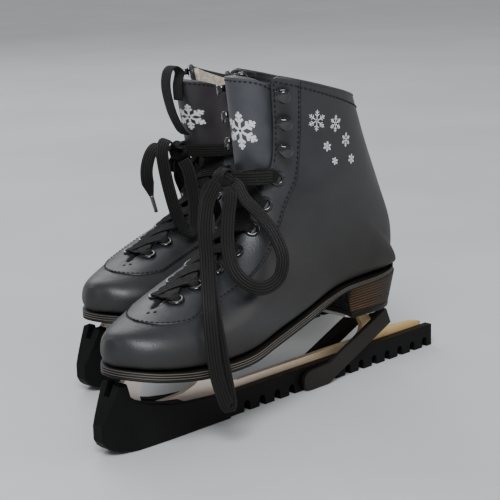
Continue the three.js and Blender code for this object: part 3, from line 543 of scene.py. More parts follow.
TOP_X, TOP_Z, BOTTOM_X, BOTTOM_Z, HALF_WIDTH, SHIFT, BELLY, TOP_ROUND, BOTTOM_ROUND = range(9)
TOP_STATION = len(STATIONS) - 1
SEAT = 73.0  # height of the heel seat
SHAFT = 141.0  # from the heel seat to the top of the flaps
SLUMP = {"left": 0.0, "right": 9.0}  # how far the shaft has sunk
BOTTOM_LINE = math.pi - 1e-5
# walls
UPPER_WALL, FACING_WALL, BACKSTAY_WALL, LINING_WALL, FOOTBED_WALL = 2.0, 0.8, 0.9, 3.0, 2.6
TONGUE_TOP_WALL, TONGUE_LOW_WALL = 5.0, 4.5
THROAT = 3.75  # station of the throat's lower end
THROAT_TIP = THROAT - 0.35  # station where its edge closes
PANEL = 2.45  # station of the facing's rounded end
FACING = 20.0
FLAP_CORNER = 14.45  # station where the flap's rounded corner starts
EYELET_INSET = 7.0
EYELET_PAIRS, EYELET_PITCH = 7, 17.8
HOOK_PAIRS, HOOK_PITCH, HOOK_START = 3, 17.4, 19
EDGE_GIRTH = [(THROAT, 2), (5, 3.6), (6.5, 6), (8, 9), (9.6, 15), (10.4, 18), (11.5, 19), (15, 19)]


def sole_top(x):
    return hermite(SOLE_TOP, x)


def sole_under(x):
    """The sole's underside: 6 thick at the front, thinning to 3.4 over the heel."""
    t = np.clip((np.asarray(x, float) - 150) / 36, 0, 1)
    return sole_top(x) - (6 + (3.4 - 6) * t * t * (3 - 2 * t))


def along_rows(values, k):
    """A value given for each row, in between the rows."""
    return hermite(np.column_stack([np.arange(len(values)), values]), k)


class Last:
    """The boot's surface, by station from the toe to the collar and by angle round it."""

    def __init__(self, side):
        self.rise = (SHAFT - SLUMP[side]) / SHAFT
        standing = STATIONS[:, BOTTOM_Z] == 0
        on_sole = sole_top(STATIONS[:, BOTTOM_X]) + 0.3
        self.bottom_z = np.where(standing, on_sole, self.raised(STATIONS[:, BOTTOM_Z]))

    def raised(self, z):
        return np.where(z > SEAT, SEAT + (z - SEAT) * self.rise, z)

    def column(self, c, k):
        return along_rows(STATIONS[:, c], k)

    def at(self, k, angle, inset=0.0):
        """Points at stations k and angles: 0 on the top line and pi on the bottom line, positive outwards."""
        k, angle, inset = np.broadcast_arrays(*(np.asarray(v, float) for v in (k, angle, inset)))
        top = np.stack([self.column(TOP_X, k), self.raised(self.column(TOP_Z, k))], -1)
        bottom = np.stack([self.column(BOTTOM_X, k), along_rows(self.bottom_z, k)], -1)
        down = bottom - top
        length = np.linalg.norm(down, axis=-1)
        down = down / length[..., None]
        a = np.abs(angle)
        upper = a <= math.pi / 2
        # the lower half is squarer from the ball to the heel
        squarer = 4.5 * np.clip((11.2 - k) / 1.5, 0, 1) * np.clip((k - 1) / 4, 0, 1)
        power = 2 / np.where(upper, self.column(TOP_ROUND, k), self.column(BOTTOM_ROUND, k) + squarer)
        c = np.abs(np.cos(a)) ** power
        s = np.abs(np.sin(a)) ** power
        inner = length - 2 * inset
        belly = inner * self.column(BELLY, k)
        v = inset + np.where(upper, belly * (1 - c), belly + (inner - belly) * c)
        w = (self.column(HALF_WIDTH, k) - inset) * s
        x = top[..., 0] + down[..., 0] * v
        z = top[..., 1] + down[..., 1] * v
        y = self.column(SHIFT, k) - np.sign(angle) * w
        return np.stack([x, y, z], -1)

    def angle(self, k, girth):
        """Angles at which the girth from the top line reaches a distance, for arrays of the same length."""
        steps = np.linspace(0, math.pi, 361)
        rows = self.at(np.asarray(k, float)[:, None], steps[None])
        run = np.cumsum(np.linalg.norm(np.diff(rows, axis=1), axis=2), axis=1)
        run = np.column_stack([np.zeros(len(run)), run])
        return np.array([np.interp(g, r, steps) for g, r in zip(np.asarray(girth, float), run)])

    def frame(self, k, angle):
        """The point, the outward normal, the direction away from the throat and the one up the boot."""
        side = math.copysign(1, angle)
        p = self.at(k, angle)
        away = unit(self.at(k, angle + side * 0.05) - self.at(k, angle - side * 0.05))
        up = unit(self.at(k + 0.1, angle) - self.at(k - 0.1, angle))
        out = unit(np.cross(up, away))
        if np.dot(out, p - self.at(k, angle, 5)) < 0:
            out = -out
        return p, out, away, unit(np.cross(out, away))

    def fitting(self, k, s):
        """The frame of the eyelet or hook at station k, in the outer row (s 1) or the inner one (s -1)."""
        return self.frame(k, s * float(self.angle([k], (edge_girth(k) + EYELET_INSET).reshape(1))[0]))


def edge_girth(k):
    """Girth from the top line to the edge of the throat and the flap."""
    k = np.asarray(k, float)
    low = np.clip((k - THROAT_TIP) / 0.35, 0, 1)
    base = np.where(k < THROAT, 2 * np.sqrt(low), hermite(EDGE_GIRTH, k))
    corner = np.clip((k - FLAP_CORNER) / 0.56, 0, 1)
    return base + 7 * (1 - np.sqrt(1 - corner**2))


def seam_girth(k):
    """Girth from the top line to the seam behind the facing."""
    k = np.asarray(k, float)
    full = np.maximum(hermite(EDGE_GIRTH, np.maximum(k, THROAT)), 2) + FACING + 6 * np.clip((9 - k) / 3, 0, 1)
    return full * np.sqrt(np.clip((k - PANEL) / (THROAT - PANEL), 0.0004, 1))


def row_stations(last):
    """Stations of the eyelets and hooks, at their pitch along the row."""
    ks = np.arange(4.05, TOP_STATION - 0.3, 0.02)
    a = last.angle(ks, edge_girth(ks) + EYELET_INSET)
    p = last.at(ks, a)
    run = run_along(p)
    eyelets = np.arange(EYELET_PAIRS) * EYELET_PITCH
    hooks = eyelets[-1] + HOOK_START + np.arange(HOOK_PAIRS) * HOOK_PITCH
    return np.interp(eyelets, run, ks), np.interp(hooks, run, ks)


# ---- Boot skins ----
def skin(last, ks, first, far, columns, inset):
    """Both halves of a skin of the last, from an edge angle at each station to a far angle."""
    far = np.broadcast_to(far, first.shape)
    angles = first[:, None] + (far - first)[:, None] * np.linspace(0, 1, columns)
    insets = np.broadcast_to(inset, angles.shape)
    halves = [last.at(ks[:, None], s * np.maximum(angles, 1e-5), insets) for s in (1, -1)]
    faces = grid_faces(len(ks), columns)
    count = len(ks) * columns
    points = np.vstack([h.reshape(-1, 3) for h in halves])
    return points, faces + [[i + count for i in f[::-1]] for f in faces]


def above_throat(corner_rows):
    """Stations from the throat's lower end to the collar, closer where the edge turns."""
    spans = ((3.42, 3.8, 14), (3.9, 14.4, 90), (FLAP_CORNER, 15, corner_rows))
    return np.concatenate([np.linspace(*span) for span in spans])


def upper(side, last):
    ks = np.concatenate([np.linspace(0, 3.4, 40), above_throat(14)])
    first = last.angle(ks, edge_girth(ks))
    first[ks < THROAT_TIP] = 0
    columns = 46
    points, faces = skin(last, ks, first, BOTTOM_LINE, columns, 0.0)
    # a rounded nose closes the front
    ring = np.concatenate([np.linspace(0, math.pi, columns), -np.linspace(math.pi, 0, columns)[1:-1]])
    base = last.at(0.0, ring)
    centre = base.mean(0)
    shrink = np.linspace(1, 0, 8)[:, None, None]
    nose = centre + (base - centre) * shrink
    nose[..., 0] -= 2.6 * (1 - shrink[..., 0] ** 2)
    count = len(points)
    faces += [[i + count for i in f] for f in grid_faces(8, len(ring), close=True)]
    points = np.vstack([points, nose.reshape(-1, 3)])
    obj = piece(f"{side}_upper", points, faces, [LEATHER, LEATHER], weld=0.05)
    face_outwards(obj)
    thickened(obj, UPPER_WALL, 1, 1)
    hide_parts(f"{side}_toe_box", f"{side}_quarter_outer", f"{side}_quarter_inner")


def facings(side, last):
    rounded_end = PANEL + np.linspace(0, 1, 22) ** 2 * (THROAT_TIP - PANEL)
    ks = np.concatenate([rounded_end, above_throat(12)])
    first = last.angle(ks, np.maximum(edge_girth(ks) - 0.2, 0))
    far = last.angle(ks, np.maximum(seam_girth(ks), edge_girth(ks) + 0.3))
    columns = 14
    u = np.linspace(0, 1, columns)
    lift = -0.7 * np.clip(np.minimum(u, 1 - u) / 0.05, 0, 1) ** 0.5
    # no step where the two halves meet
    lift = np.where((ks[:, None] < THROAT_TIP) & (u < 0.5), -0.7, lift[None])
    points, faces = skin(last, ks, first, far, columns, lift)
    obj = piece(f"{side}_facings", points, faces, [FACING_LEATHER, FACING_LEATHER], weld=0.03)
    thickened(obj, FACING_WALL, 1, 1)
    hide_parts(f"{side}_eyestay_outer", f"{side}_eyestay_inner")


def lining(side, last):
    ks = np.concatenate([np.linspace(0.7, 3.7, 20), np.linspace(3.8, 14.9, 80)])
    first = last.angle(ks, np.maximum(edge_girth(ks), 2) + 3.0)
    first[ks < THROAT] = 0
    columns = 40
    row, column = np.arange(len(ks))[:, None], np.arange(columns)[None]
    tuft = 0.5 * np.sin(column * 2.1 + row * 1.7) * np.sin(row * 0.9)
    points, faces = skin(last, ks, first, BOTTOM_LINE, columns, 2.6 + np.abs(tuft) * 0.5)
    obj = piece(f"{side}_fleece_lining", points, faces, [FLEECE, FLEECE], "fleece", weld=0.05)
    thickened(obj, LINING_WALL, 1, 1, bevel=0.9)
    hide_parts(f"{side}_lining")


def throat_pile(side, last):
    """The lining's pile, which shows along both edges of the lower throat."""
    ks = np.linspace(THROAT - 0.05, 6.6, 60)
    parts = []
    for s in (1, -1):
        edge = last.angle(ks, np.maximum(edge_girth(ks) - 1.2, 0.3))
        path = last.at(ks, s * edge, 3.4 + 0.35 * np.sin(ks * 37))
        out = last.at(ks, s * edge, 0) - last.at(ks, s * edge, 3)
        parts.append(ribbon(path, out, 4.6, 2.6, corner=2.0, around=12))
    joined(f"{side}_throat_pile", parts, FLEECE, "fleece")


def over_bottom_line(u, spread):
    """Angles from one side of the bottom line to the other, for u from -1 to 1."""
    return np.where(u < 0, -BOTTOM_LINE - u * spread, BOTTOM_LINE - u * spread)


def insole(side, last):
    ks = np.linspace(0.9, 11, 60)
    u = np.linspace(-1, 1, 21)
    points = last.at(ks[:, None], over_bottom_line(u, math.radians(26))[None], 7.2 + 0.6 * u[None] ** 2)
    faces = grid_faces(len(ks), len(u))
    obj = piece(f"{side}_footbed", points.reshape(-1, 3), faces, [FLEECE, FLEECE], "fleece", weld=0.02)
    thickened(obj, -FOOTBED_WALL, 1, 1)
    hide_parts(f"{side}_insole")


# ---- Tongue ----
# head, front, lean, half width, depth
TONGUES = {"left": (212.0, -3.0, 7.0, 15.4, 17), "right": (197.0, -17.0, 8.0, 17.6, 25)}
TONGUE_FOOT, TONGUE_HINGE = 150.0, 157.5
HINGE_X = float(along_rows(STATIONS[:, TOP_X], 10.05))


def tongue_point(side, s, t, lift=0.0):
    """A point of the tongue's outer face: s from -1 to 1 across and t from 0 to 1 up."""
    head, front, lean, half, depth = TONGUES[side]
    s, t = np.broadcast_arrays(np.asarray(s, float), np.asarray(t, float))
    a = s * math.pi / 2
    top = head - 7 * np.abs(s) ** 3.2
    z = TONGUE_FOOT + (top - TONGUE_FOOT) * t
    share = (z - TONGUE_HINGE) / (head - TONGUE_HINGE)
    middle = HINGE_X + front - lean * share
    x = middle + (depth + 2 * share) * (1 - np.cos(a)) - lift * np.cos(a)
    y = -(half + lift) * np.sin(a)
    return np.stack([x, y, z], -1)


def tongue_top(side):
    s = np.linspace(-1, 1, 33)
    t = np.concatenate([np.linspace(0, 0.96, 30), [0.98, 0.992, 1.0]])
    points = tongue_point(side, s[None], t[:, None])
    faces = grid_faces(len(t), len(s))
    # the right tongue's top takes the darker copy of the tongue leather: painted shade
    face = TONGUE_LEATHER if side == "left" else SHADED_TONGUE_LEATHER
    obj = piece(f"{side}_tongue_top", points.reshape(-1, 3), faces, [face, FLEECE], body="tongue_top")
    thickened(obj, TONGUE_TOP_WALL, 1, 0, bevel=1.3)
    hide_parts(f"{side}_tongue_upper")


def tongue_low(side, last):
    ks = np.linspace(THROAT_TIP, 9.9, 60)
    wide = last.angle(ks, np.maximum(edge_girth(ks), 4) + 12)
    s = np.linspace(-1, 1, 25)
    crown = 2.6 * (1 - s**2)[None]
    points = last.at(ks[:, None], s[None] * wide[:, None] + 1e-6, 8.2 - crown)
    faces = grid_faces(len(ks), len(s))
    obj = piece(f"{side}_tongue_low", points.reshape(-1, 3), faces, [TONGUE_LEATHER, FLEECE])
    bottom_rows = 22 * (len(s) - 1)  # below this the pile side shows between the laces
    for p in obj.data.polygons[:bottom_rows]:
        p.material_index = 1
    thickened(obj, TONGUE_LOW_WALL, bevel=1.0)
    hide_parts(f"{side}_tongue")


# ---- Sole and heel ----
SOLE_OUTLINE = np.array([
    # along, half width on the -Y side, half width on the other side
    [3.4, 5.6, -5.4], [4, 11, 0], [6.5, 17.5, 5], [13, 26, 12.5], [23, 34, 21], [42, 41, 31.8], [65, 43, 40],
    [90, 42, 42.5], [115, 37.5, 37], [147, 32.5, 29], [166, 31, 28.6], [186, 30.8, 29.8], [210, 31, 31],
    [230, 27.8, 27.8], [244, 19.5, 19.5], [251, 10.5, 10.5], [254.2, 0, 0],
])


SOLE_RIBS = 4


def outsole(side):
    t = np.linspace(0, len(SOLE_OUTLINE) - 1, 150)
    x, near, far = (along_rows(SOLE_OUTLINE[:, c], t) for c in range(3))
    loop = np.vstack([np.column_stack([x, -near]), np.column_stack([x, far])[::-1][1:-1]])
    n = len(loop)
    ahead = np.roll(loop, -1, axis=0) - np.roll(loop, 1, axis=0)
    normal = unit(np.column_stack([ahead[:, 1], -ahead[:, 0]]))
    if np.sum((loop - loop.mean(0)) * normal) < 0:
        normal = -normal
    rows = 33
    f = np.linspace(0, 1, rows)
    rib = 0.42 * np.abs(np.sin(f * math.pi * SOLE_RIBS)) ** 0.6 - 0.42
    rib[0] = rib[-1] = -0.9
    wall = loop[None] + normal[None] * rib[:, None, None]
    top, under = sole_top(loop[:, 0]), sole_under(loop[:, 0])
    z = top[None] + (under - top)[None] * f[:, None]
    points = np.concatenate([wall, z[..., None]], -1).reshape(-1, 3)
    faces = grid_faces(rows, n, close=True)
    # strips from side to side close the top and the underside
    half = len(x)
    for row, flip in ((0, False), (rows - 1, True)):
        start = row * n
        for i in range(half - 1):
            a, b = start + i, start + i + 1
            c, d = start + (n - i - 1) % n, start + (n - i) % n
            quad = [a, b, c, d] if i else [a, b, c]
            if i == half - 2:
                quad = [a, b, d]
            faces.append(quad[::-1] if flip else quad)
    obj = piece(f"{side}_ribbed_sole", points, faces, [SOLE, RIB_HIGHLIGHT], "sole")
    for r in range(26):  # the crests of the upper ribs are paler: a painted highlight
        if abs(math.sin((f[r] + f[r + 1]) / 2 * math.pi * SOLE_RIBS)) > 0.97:
            for p in obj.data.polygons[r * n : (r + 1) * n]:
                p.material_index = 1
    face_outwards(obj)
    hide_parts(f"{side}_outsole")


# at the sole and at the floor end
HEEL_FRONTS, HEEL_REARS, HEEL_HALVES = (187.0, 197.5), (252.8, 248.5), (29, 24)
HEEL_FOOT, TOP_LIFT = 45.0, 4.0


def heel_outline(t, grow=0.0):
    """The heel's D-shaped outline at a share t of the way down."""
    front, rear, half = (a + (b - a) * t for a, b in (HEEL_FRONTS, HEEL_REARS, HEEL_HALVES))
    front, rear, half = front - grow, rear + grow, half + grow
    hollow = 3 + 2 * t
    v = np.linspace(-1, 1, 15)
    breast = np.column_stack([front + hollow * (1 - v**2), v * half * 0.97])
    straight = rear - half * 1.15
    a = np.linspace(math.pi / 2, -math.pi / 2, 41)
    back = np.column_stack([straight + (rear - straight) * np.abs(np.cos(a)) ** 0.9, half * np.sin(a)])
    return np.vstack([breast, back])


def heel(side):
    foot = HEEL_FOOT + TOP_LIFT + 0.2
    front, rear = HEEL_FRONTS[0], HEEL_REARS[0]
    rings, uv = [], []
    for i in range(HEEL_LAYERS):
        for share, grow in ((0.03, -0.1), (0.1, 0.0), (0.5, 0.05), (0.9, 0.0), (0.97, -0.1)):
            t = (i + share) / HEEL_LAYERS
            o = heel_outline(t * 0.9, grow)
            top = sole_under(np.maximum(o[:, 0], front)) - 0.1
            rings.append(np.column_stack([o, top + (foot - top) * t]))
            back = (o[:, 0] - front) / (rear - front)
            back[1:14] = 0  # the hollow front wall
            uv.append(np.column_stack([back, np.full(len(o), t)]))
    uv = np.vstack([*uv, [[0.5, 0]], [[0.5, 1]]])
    stack = piece(f"{side}_heel", *loft(rings), HEEL, "heel", uv=uv)
    face_outwards(stack)
    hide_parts(f"{side}_heel_stack")
    head = HEEL_FOOT + TOP_LIFT
    steps = ((0.92, head, -0.3), (0.925, head - 0.3, 0), (1, HEEL_FOOT + 0.5, 0), (1, HEEL_FOOT, -0.5))
    rings = []
    for t, z, grow in steps:
        o = heel_outline(t, grow)
        rings.append(np.column_stack([o, np.full(len(o), z)]))
    lift = piece(f"{side}_top_lift", *loft(rings), SOLE, "sole")
    face_outwards(lift)
    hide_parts(f"{side}_heel_top_lift")


# ---- Repeated small things ----
def nodes_tree(name, **sizes):
    """A geometry tree with those sizes, in metres, and a material as its inputs."""
    tree = bpy.data.node_groups.new(name, "GeometryNodeTree")
    socket(tree, "Geometry", "INPUT", "NodeSocketGeometry")
    for label, value in sizes.items():
        socket(tree, label, "INPUT", "NodeSocketFloat", value)
    socket(tree, "Material", "INPUT", "NodeSocketMaterial")
    socket(tree, "Geometry", "OUTPUT", "NodeSocketGeometry")
    return tree, tree.nodes.new("NodeGroupInput"), tree.nodes.new("NodeGroupOutput")


def instanced(tree, inside, out, points, shape, turn, size):
    """Puts the shape on the points, makes the copies real and gives them the material."""
    put = linked(tree, "GeometryNodeInstanceOnPoints", Points=points, Instance=shape, Rotation=turn, Scale=size)
    real = linked(tree, "GeometryNodeRealizeInstances", Geometry=put.outputs[0])
    done = linked(tree, "GeometryNodeSetMaterial", Geometry=real.outputs[0], Material=inside.outputs["Material"])
    tree.links.new(done.outputs[0], out.inputs[0])
    return tree


def stitch_tree():
    """Short rounded stitches along the edges of a mesh of lines."""
    tree, inside, out = nodes_tree("Stitch line", Pitch=0.0032, Length=0.0024, Thread=0.0005)
    curve = linked(tree, "GeometryNodeMeshToCurve", Mesh=inside.outputs["Geometry"])
    pitch = inside.outputs["Pitch"]
    even = linked(tree, "GeometryNodeResampleCurve", mode="LENGTH", Curve=curve.outputs[0], Length=pitch)
    tangent = tree.nodes.new("GeometryNodeInputTangent")
    turn = linked(tree, "FunctionNodeAlignRotationToVector", Vector=tangent.outputs[0], axis="Z")
    shape = linked(tree, "GeometryNodeMeshUVSphere", Segments=6, Rings=5, Radius=1.0)
    half = math_of(tree, inside.outputs["Length"], 0.5, "MULTIPLY")
    thread = inside.outputs["Thread"]
    size = linked(tree, "ShaderNodeCombineXYZ", X=thread, Y=thread, Z=half)
    return instanced(tree, inside, out, even.outputs[0], shape.outputs[0], turn.outputs[0], size.outputs[0])


def point_facing(tree):
    """The turn that takes Z to the point's own facing."""
    facing = linked(tree, "GeometryNodeInputNamedAttribute", data_type="FLOAT_VECTOR", Name="facing")
    return linked(tree, "FunctionNodeAlignRotationToVector", Vector=facing.outputs[0], axis="Z").outputs[0]


def ring_tree():
    """A rolled ring on every point, facing along the point's own facing."""
    tree, inside, out = nodes_tree("Eyelet rings", Radius=0.0037, Roll=0.0012)
    big = linked(tree, "GeometryNodeCurvePrimitiveCircle", Resolution=28, Radius=inside.outputs["Radius"])
    small = linked(tree, "GeometryNodeCurvePrimitiveCircle", Resolution=10, Radius=inside.outputs["Roll"])
    ring = linked(tree, "GeometryNodeCurveToMesh", Curve=big.outputs[0], i1=small.outputs[0])
    return instanced(tree, inside, out, inside.outputs[0], ring.outputs[0], point_facing(tree), (1.0, 1.0, 0.75))


def dome_tree():
    """A low dome on every point: screw heads and rivets."""
    tree, inside, out = nodes_tree("Screw heads", Radius=0.003, Rise=0.001)
    shape = linked(tree, "GeometryNodeMeshUVSphere", Segments=16, Rings=8, Radius=1.0)
    radius = inside.outputs["Radius"]
    size = linked(tree, "ShaderNodeCombineXYZ", X=radius, Y=radius, Z=inside.outputs["Rise"])
    return instanced(tree, inside, out, inside.outputs[0], shape.outputs[0], point_facing(tree), size.outputs[0])


STITCHES = stitch_tree()
RINGS = ring_tree()
DOMES = dome_tree()


def grown(name, tree, mat, points, edges=(), facing=None, slot="leather", body="skate", **inputs):
    """Runs a tree on bare points or lines and keeps the result as one plain mesh."""
    side = name.split("_")[0]
    mesh = bpy.data.meshes.new(name)
    mesh.from_pydata(to_world(points, side).tolist(), edges, [])
    if facing is not None:
        turned = to_world(np.array(points) + np.array(facing), side) - to_world(points, side)
        mesh.attributes.new("facing", "FLOAT_VECTOR", "POINT").data.foreach_set("vector", unit(turned).ravel())
    source = placed(name + " source", mesh)
    maker = source.modifiers.new("maker", "NODES")
    maker.node_group = tree
    sockets = [s for s in tree.interface.items_tree if s.item_type == "SOCKET" and s.in_out == "INPUT"]
    names = {s.name: s.identifier for s in sockets}
    for key, value in {"Material": mat, **inputs}.items():
        maker[names[key]] = value
    graph = bpy.context.evaluated_depsgraph_get()
    made = bpy.data.meshes.new_from_object(source.evaluated_get(graph))
    made.name = name
    bpy.data.objects.remove(source)
    made.polygons.foreach_set("use_smooth", [True] * len(made.polygons))
    obj = placed(name, made)
    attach(obj, f"{side}_{body}")


def stitched(name, paths, body="skate"):
    """Stitches along every path."""
    points, edges = [], []
    for path in paths:
        start = len(points)
        points += [list(p) for p in path]
        edges += [(start + i, start + i + 1) for i in range(len(path) - 1)]
    grown(name, STITCHES, THREAD, points, edges, body=body)


def boot_seams(last):
    """Every line of stitching on the boot."""
    ks = np.linspace(PANEL + 0.02, 14.75, 150)
    seams = []
    for s in (1, -1):
        seam = last.angle(ks, np.maximum(seam_girth(ks) - 1.7, 0.2))
        seams.append(last.at(ks, s * seam, -0.8))
        for low, high, count, inset in ((10.8, 14.6, 40, 2.3), (4.1, 9.4, 60, 2.0)):
            up = np.linspace(low, high, count)
            near = last.angle(up, edge_girth(up) + inset)
            seams.append(last.at(up, s * near, -0.8))
        corner = float(last.angle([14.75], edge_girth(14.75) + [3.0])[0])
        flap = np.linspace(corner, 0.36 * math.pi, 12)
        rim = np.concatenate([flap, np.linspace(0.37 * math.pi, math.pi - 0.02, 60)])
        seams.append(last.at(14.75, s * rim, np.where(rim < 0.3 * math.pi, -0.85, -0.3)))
        back = np.linspace(11.1, 14.6, 40)
        seams.append(last.at(back, s * (math.pi - 0.2), -0.9))
    half = len(seams) // 2
    seams[0] = np.vstack([seams[half][:1], seams[0]])  # the facing's seam runs on across the toe
    return seams


def backstay(side, last):
    """The strip over the seam at the back."""
    ks = np.linspace(11.0, 14.95, 50)
    s = np.linspace(-1, 1, 17)
    lift = -0.8 * np.clip((1 - np.abs(s)) / 0.2, 0, 1) ** 0.5
    points = last.at(ks[:, None], over_bottom_line(s, 0.32)[None], lift[None])
    faces = grid_faces(len(ks), len(s))
    obj = piece(f"{side}_backstay", points.reshape(-1, 3), faces, FACING_LEATHER, weld=0.02)
    face_outwards(obj)
    thickened(obj, BACKSTAY_WALL)


def collar_bead(side, last):
    """The rolled edge round the top of the shaft."""
    first = float(last.angle([15.0], edge_girth(15.0).reshape(1))[0])
    a = np.concatenate([np.linspace(first, math.pi - 1e-4, 60), -np.linspace(math.pi - 1e-4, first, 60)])
    path = last.at(15.0, a, 1.0)
    path[:, 2] += 0.2
    down = last.at(14.9, a, 1.0) - path
    band(f"{side}_collar_edge", path, -down, 2.6, 1.7, FACING_LEATHER, corner=2.4, around=10)


# away from the throat, out of the leather, width, thickness
HOOK_PROFILE = np.array([
    (4.2, 0.5, 7.0, 1.0), (0.5, 0.5, 7.6, 1.1), (-2.2, 0.7, 6.0, 1.2), (-3.6, 1.9, 4.4, 1.4), (-3.9, 3.6, 4.2, 1.4),
    (-2.8, 5.1, 5.2, 1.4), (-0.2, 5.8, 7.6, 1.7), (3.0, 5.7, 8.2, 1.8), (5.4, 5.0, 5.0, 1.2),
])


def hooks(side, last, stations):
    parts = []
    for k in stations:
        for s in (1, -1):
            p, out, away, up = last.fitting(k, s)
            path = smooth_path([p + away * a + out * (b + 1.2) for a, b, _, _ in HOOK_PROFILE], 0.6)
            at = np.linspace(0, len(HOOK_PROFILE) - 1, len(path))
            width, thick = (np.interp(at, np.arange(len(HOOK_PROFILE)), HOOK_PROFILE[:, c]) for c in (2, 3))
            thin = np.cross(unit(np.gradient(path, axis=0)), up)
            parts.append(ribbon(path, thin, width, thick, corner=2.6, around=14))
    obj = joined(f"{side}_hooks", parts, ENAMEL, "hook")
    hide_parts(*[f"{side}_hook_{w}_{i}" for w in ("outer", "inner") for i in (1, 2, 3)])


# ---- Laces ----
KNOTS = {"left": (98.0, -8.5, 153.0), "right": (94.0, -2.0, 150.0)}
LACE_WIDTH, LACE_THICK = 8.5, 1.4
OUTWARD = (-0.7, -0.7, 0.15)
OUT_BACK = (-0.6, 0.7, 0.3)
ASIDE = (-0.2, 0.95, 0.2)
ROUTES = {
    "left": {
        "lace_loop_a": ([
            (89.5, -10.5, 150.5), (82, -11, 141), (75, -15, 126), (71, -20, 109.5), (63, -29, 94), (53, -40.5, 81),
            (49, -46, 68), (49, -48.5, 50), (54.5, -50, 30), (58.5, -49.5, 29), (56.5, -47, 50), (55.5, -44.5, 68),
            (60, -36, 84), (68, -25.5, 97), (75.5, -15, 113), (80.5, -9, 128), (84.5, -6.5, 140), (89.5, -5.5, 148),
        ], OUTWARD, OUTWARD, "knot"),
        "lace_loop_b": ([
            (101, -17.5, 149), (104, -21, 140), (111, -26.5, 130), (116, -33.5, 117), (116, -39.5, 104.3),
            (110, -41.5, 93.5), (97, -42, 90), (86, -39.5, 94), (80, -34, 103), (82, -27, 116), (88, -21.5, 131),
            (94.5, -17.5, 144),
        ], (-0.2, -0.9, 0.3), (-0.5, -0.8, 0.2), "knot"),
        "lace_end_a": ([
            (101, 3, 152), (112, 14, 149), (128, 24, 143), (142, 32, 132),
            (150, 36, 116), (153, 38.5, 98), (152, 40, 82),
        ], OUT_BACK, ASIDE, "fitting"),
        "lace_end_b": ([
            (98, 5, 147), (107, 16, 139), (120, 25.5, 131), (132, 34, 121),
            (137, 38.5, 107), (138, 41, 92), (135, 43, 78),
        ], OUT_BACK, ASIDE, "fitting"),
    },
    "right": {
        "lace_loop_a": ([
            (87, -7, 154), (81, -8, 158), (74, -10, 160), (67.5, -13.5, 155), (66, -16, 146), (67, -19, 130),
            (70, -22.5, 112), (75, -25, 101), (82, -25, 98.5), (88, -22, 106), (92, -17, 121), (93, -12, 137),
        ], (-0.3, -0.3, 0.9), (-0.7, -0.7, 0.15), "knot"),
        "lace_loop_b": ([
            (99, 9.5, 143), (112, 19, 140), (130, 27, 134), (147, 33, 124), (161, 38, 110), (161, 41, 97),
            (153, 42, 91), (145, 42, 96), (143, 40, 108), (139, 37, 119), (126, 31, 129), (108, 22, 136),
        ], (-0.2, 0.9, 0.3), (-0.5, 0.8, 0.2), "knot"),
        "lace_end_a": ([
            (84.5, 1, 153), (76, 0, 155.5), (68, -2, 152), (62.5, -3.5, 144),
            (61, -4.5, 136), (63, -5, 127), (67, -6, 112),
        ], (-0.2, -0.2, 0.95), (-0.7, -0.7, 0.1), "fitting"),
        "lace_end_b": ([
            (97, 4, 141), (105, 12, 131), (118, 22, 121), (130, 31, 112), (138, 36, 100), (140, 37.5, 86),
        ], OUT_BACK, ASIDE, "fitting"),
    },
}
TIP_LENGTH = 12.0


def free_laces(side):
    """Both loops and both ends. A loop comes back to the knot, and an end has a tip."""
    knot = np.array(KNOTS[side])
    for name, (points, first, last, end) in ROUTES[side].items():
        into = [np.array(p) + (knot - p) * 0.5 for p in (points[0], points[-1])]
        path = smooth_path([into[0], *points, *(into[1:] if end == "knot" else [])], 1.5)
        tips, narrowing = [], LACE_WIDTH
        if end == "fitting":
            run = run_along(path)
            cut = np.searchsorted(run, run[-1] - TIP_LENGTH)
            tip, path = path[cut - 1 :], path[: cut + 1]
            taper = np.linspace(2.9, 2.5, len(tip))
            tips = [band(f"{side}_{name}_tip", tip, last, taper, 2.4, TIP, "lace", corner=2.0, around=14)]
            narrowing = np.linspace(LACE_WIDTH, 2.4, 8)
        width = np.full(len(path), LACE_WIDTH)
        width[-8:] = narrowing
        share = np.linspace(0, 1, len(path))[:, None]
        thin = np.array(first) * (1 - share) + np.array(last) * share
        obj = band(f"{side}_free_{name}", path, thin, width, LACE_THICK, LACE, "lace")
        where = to_world(path, side)
        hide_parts(f"{side}_{name}")


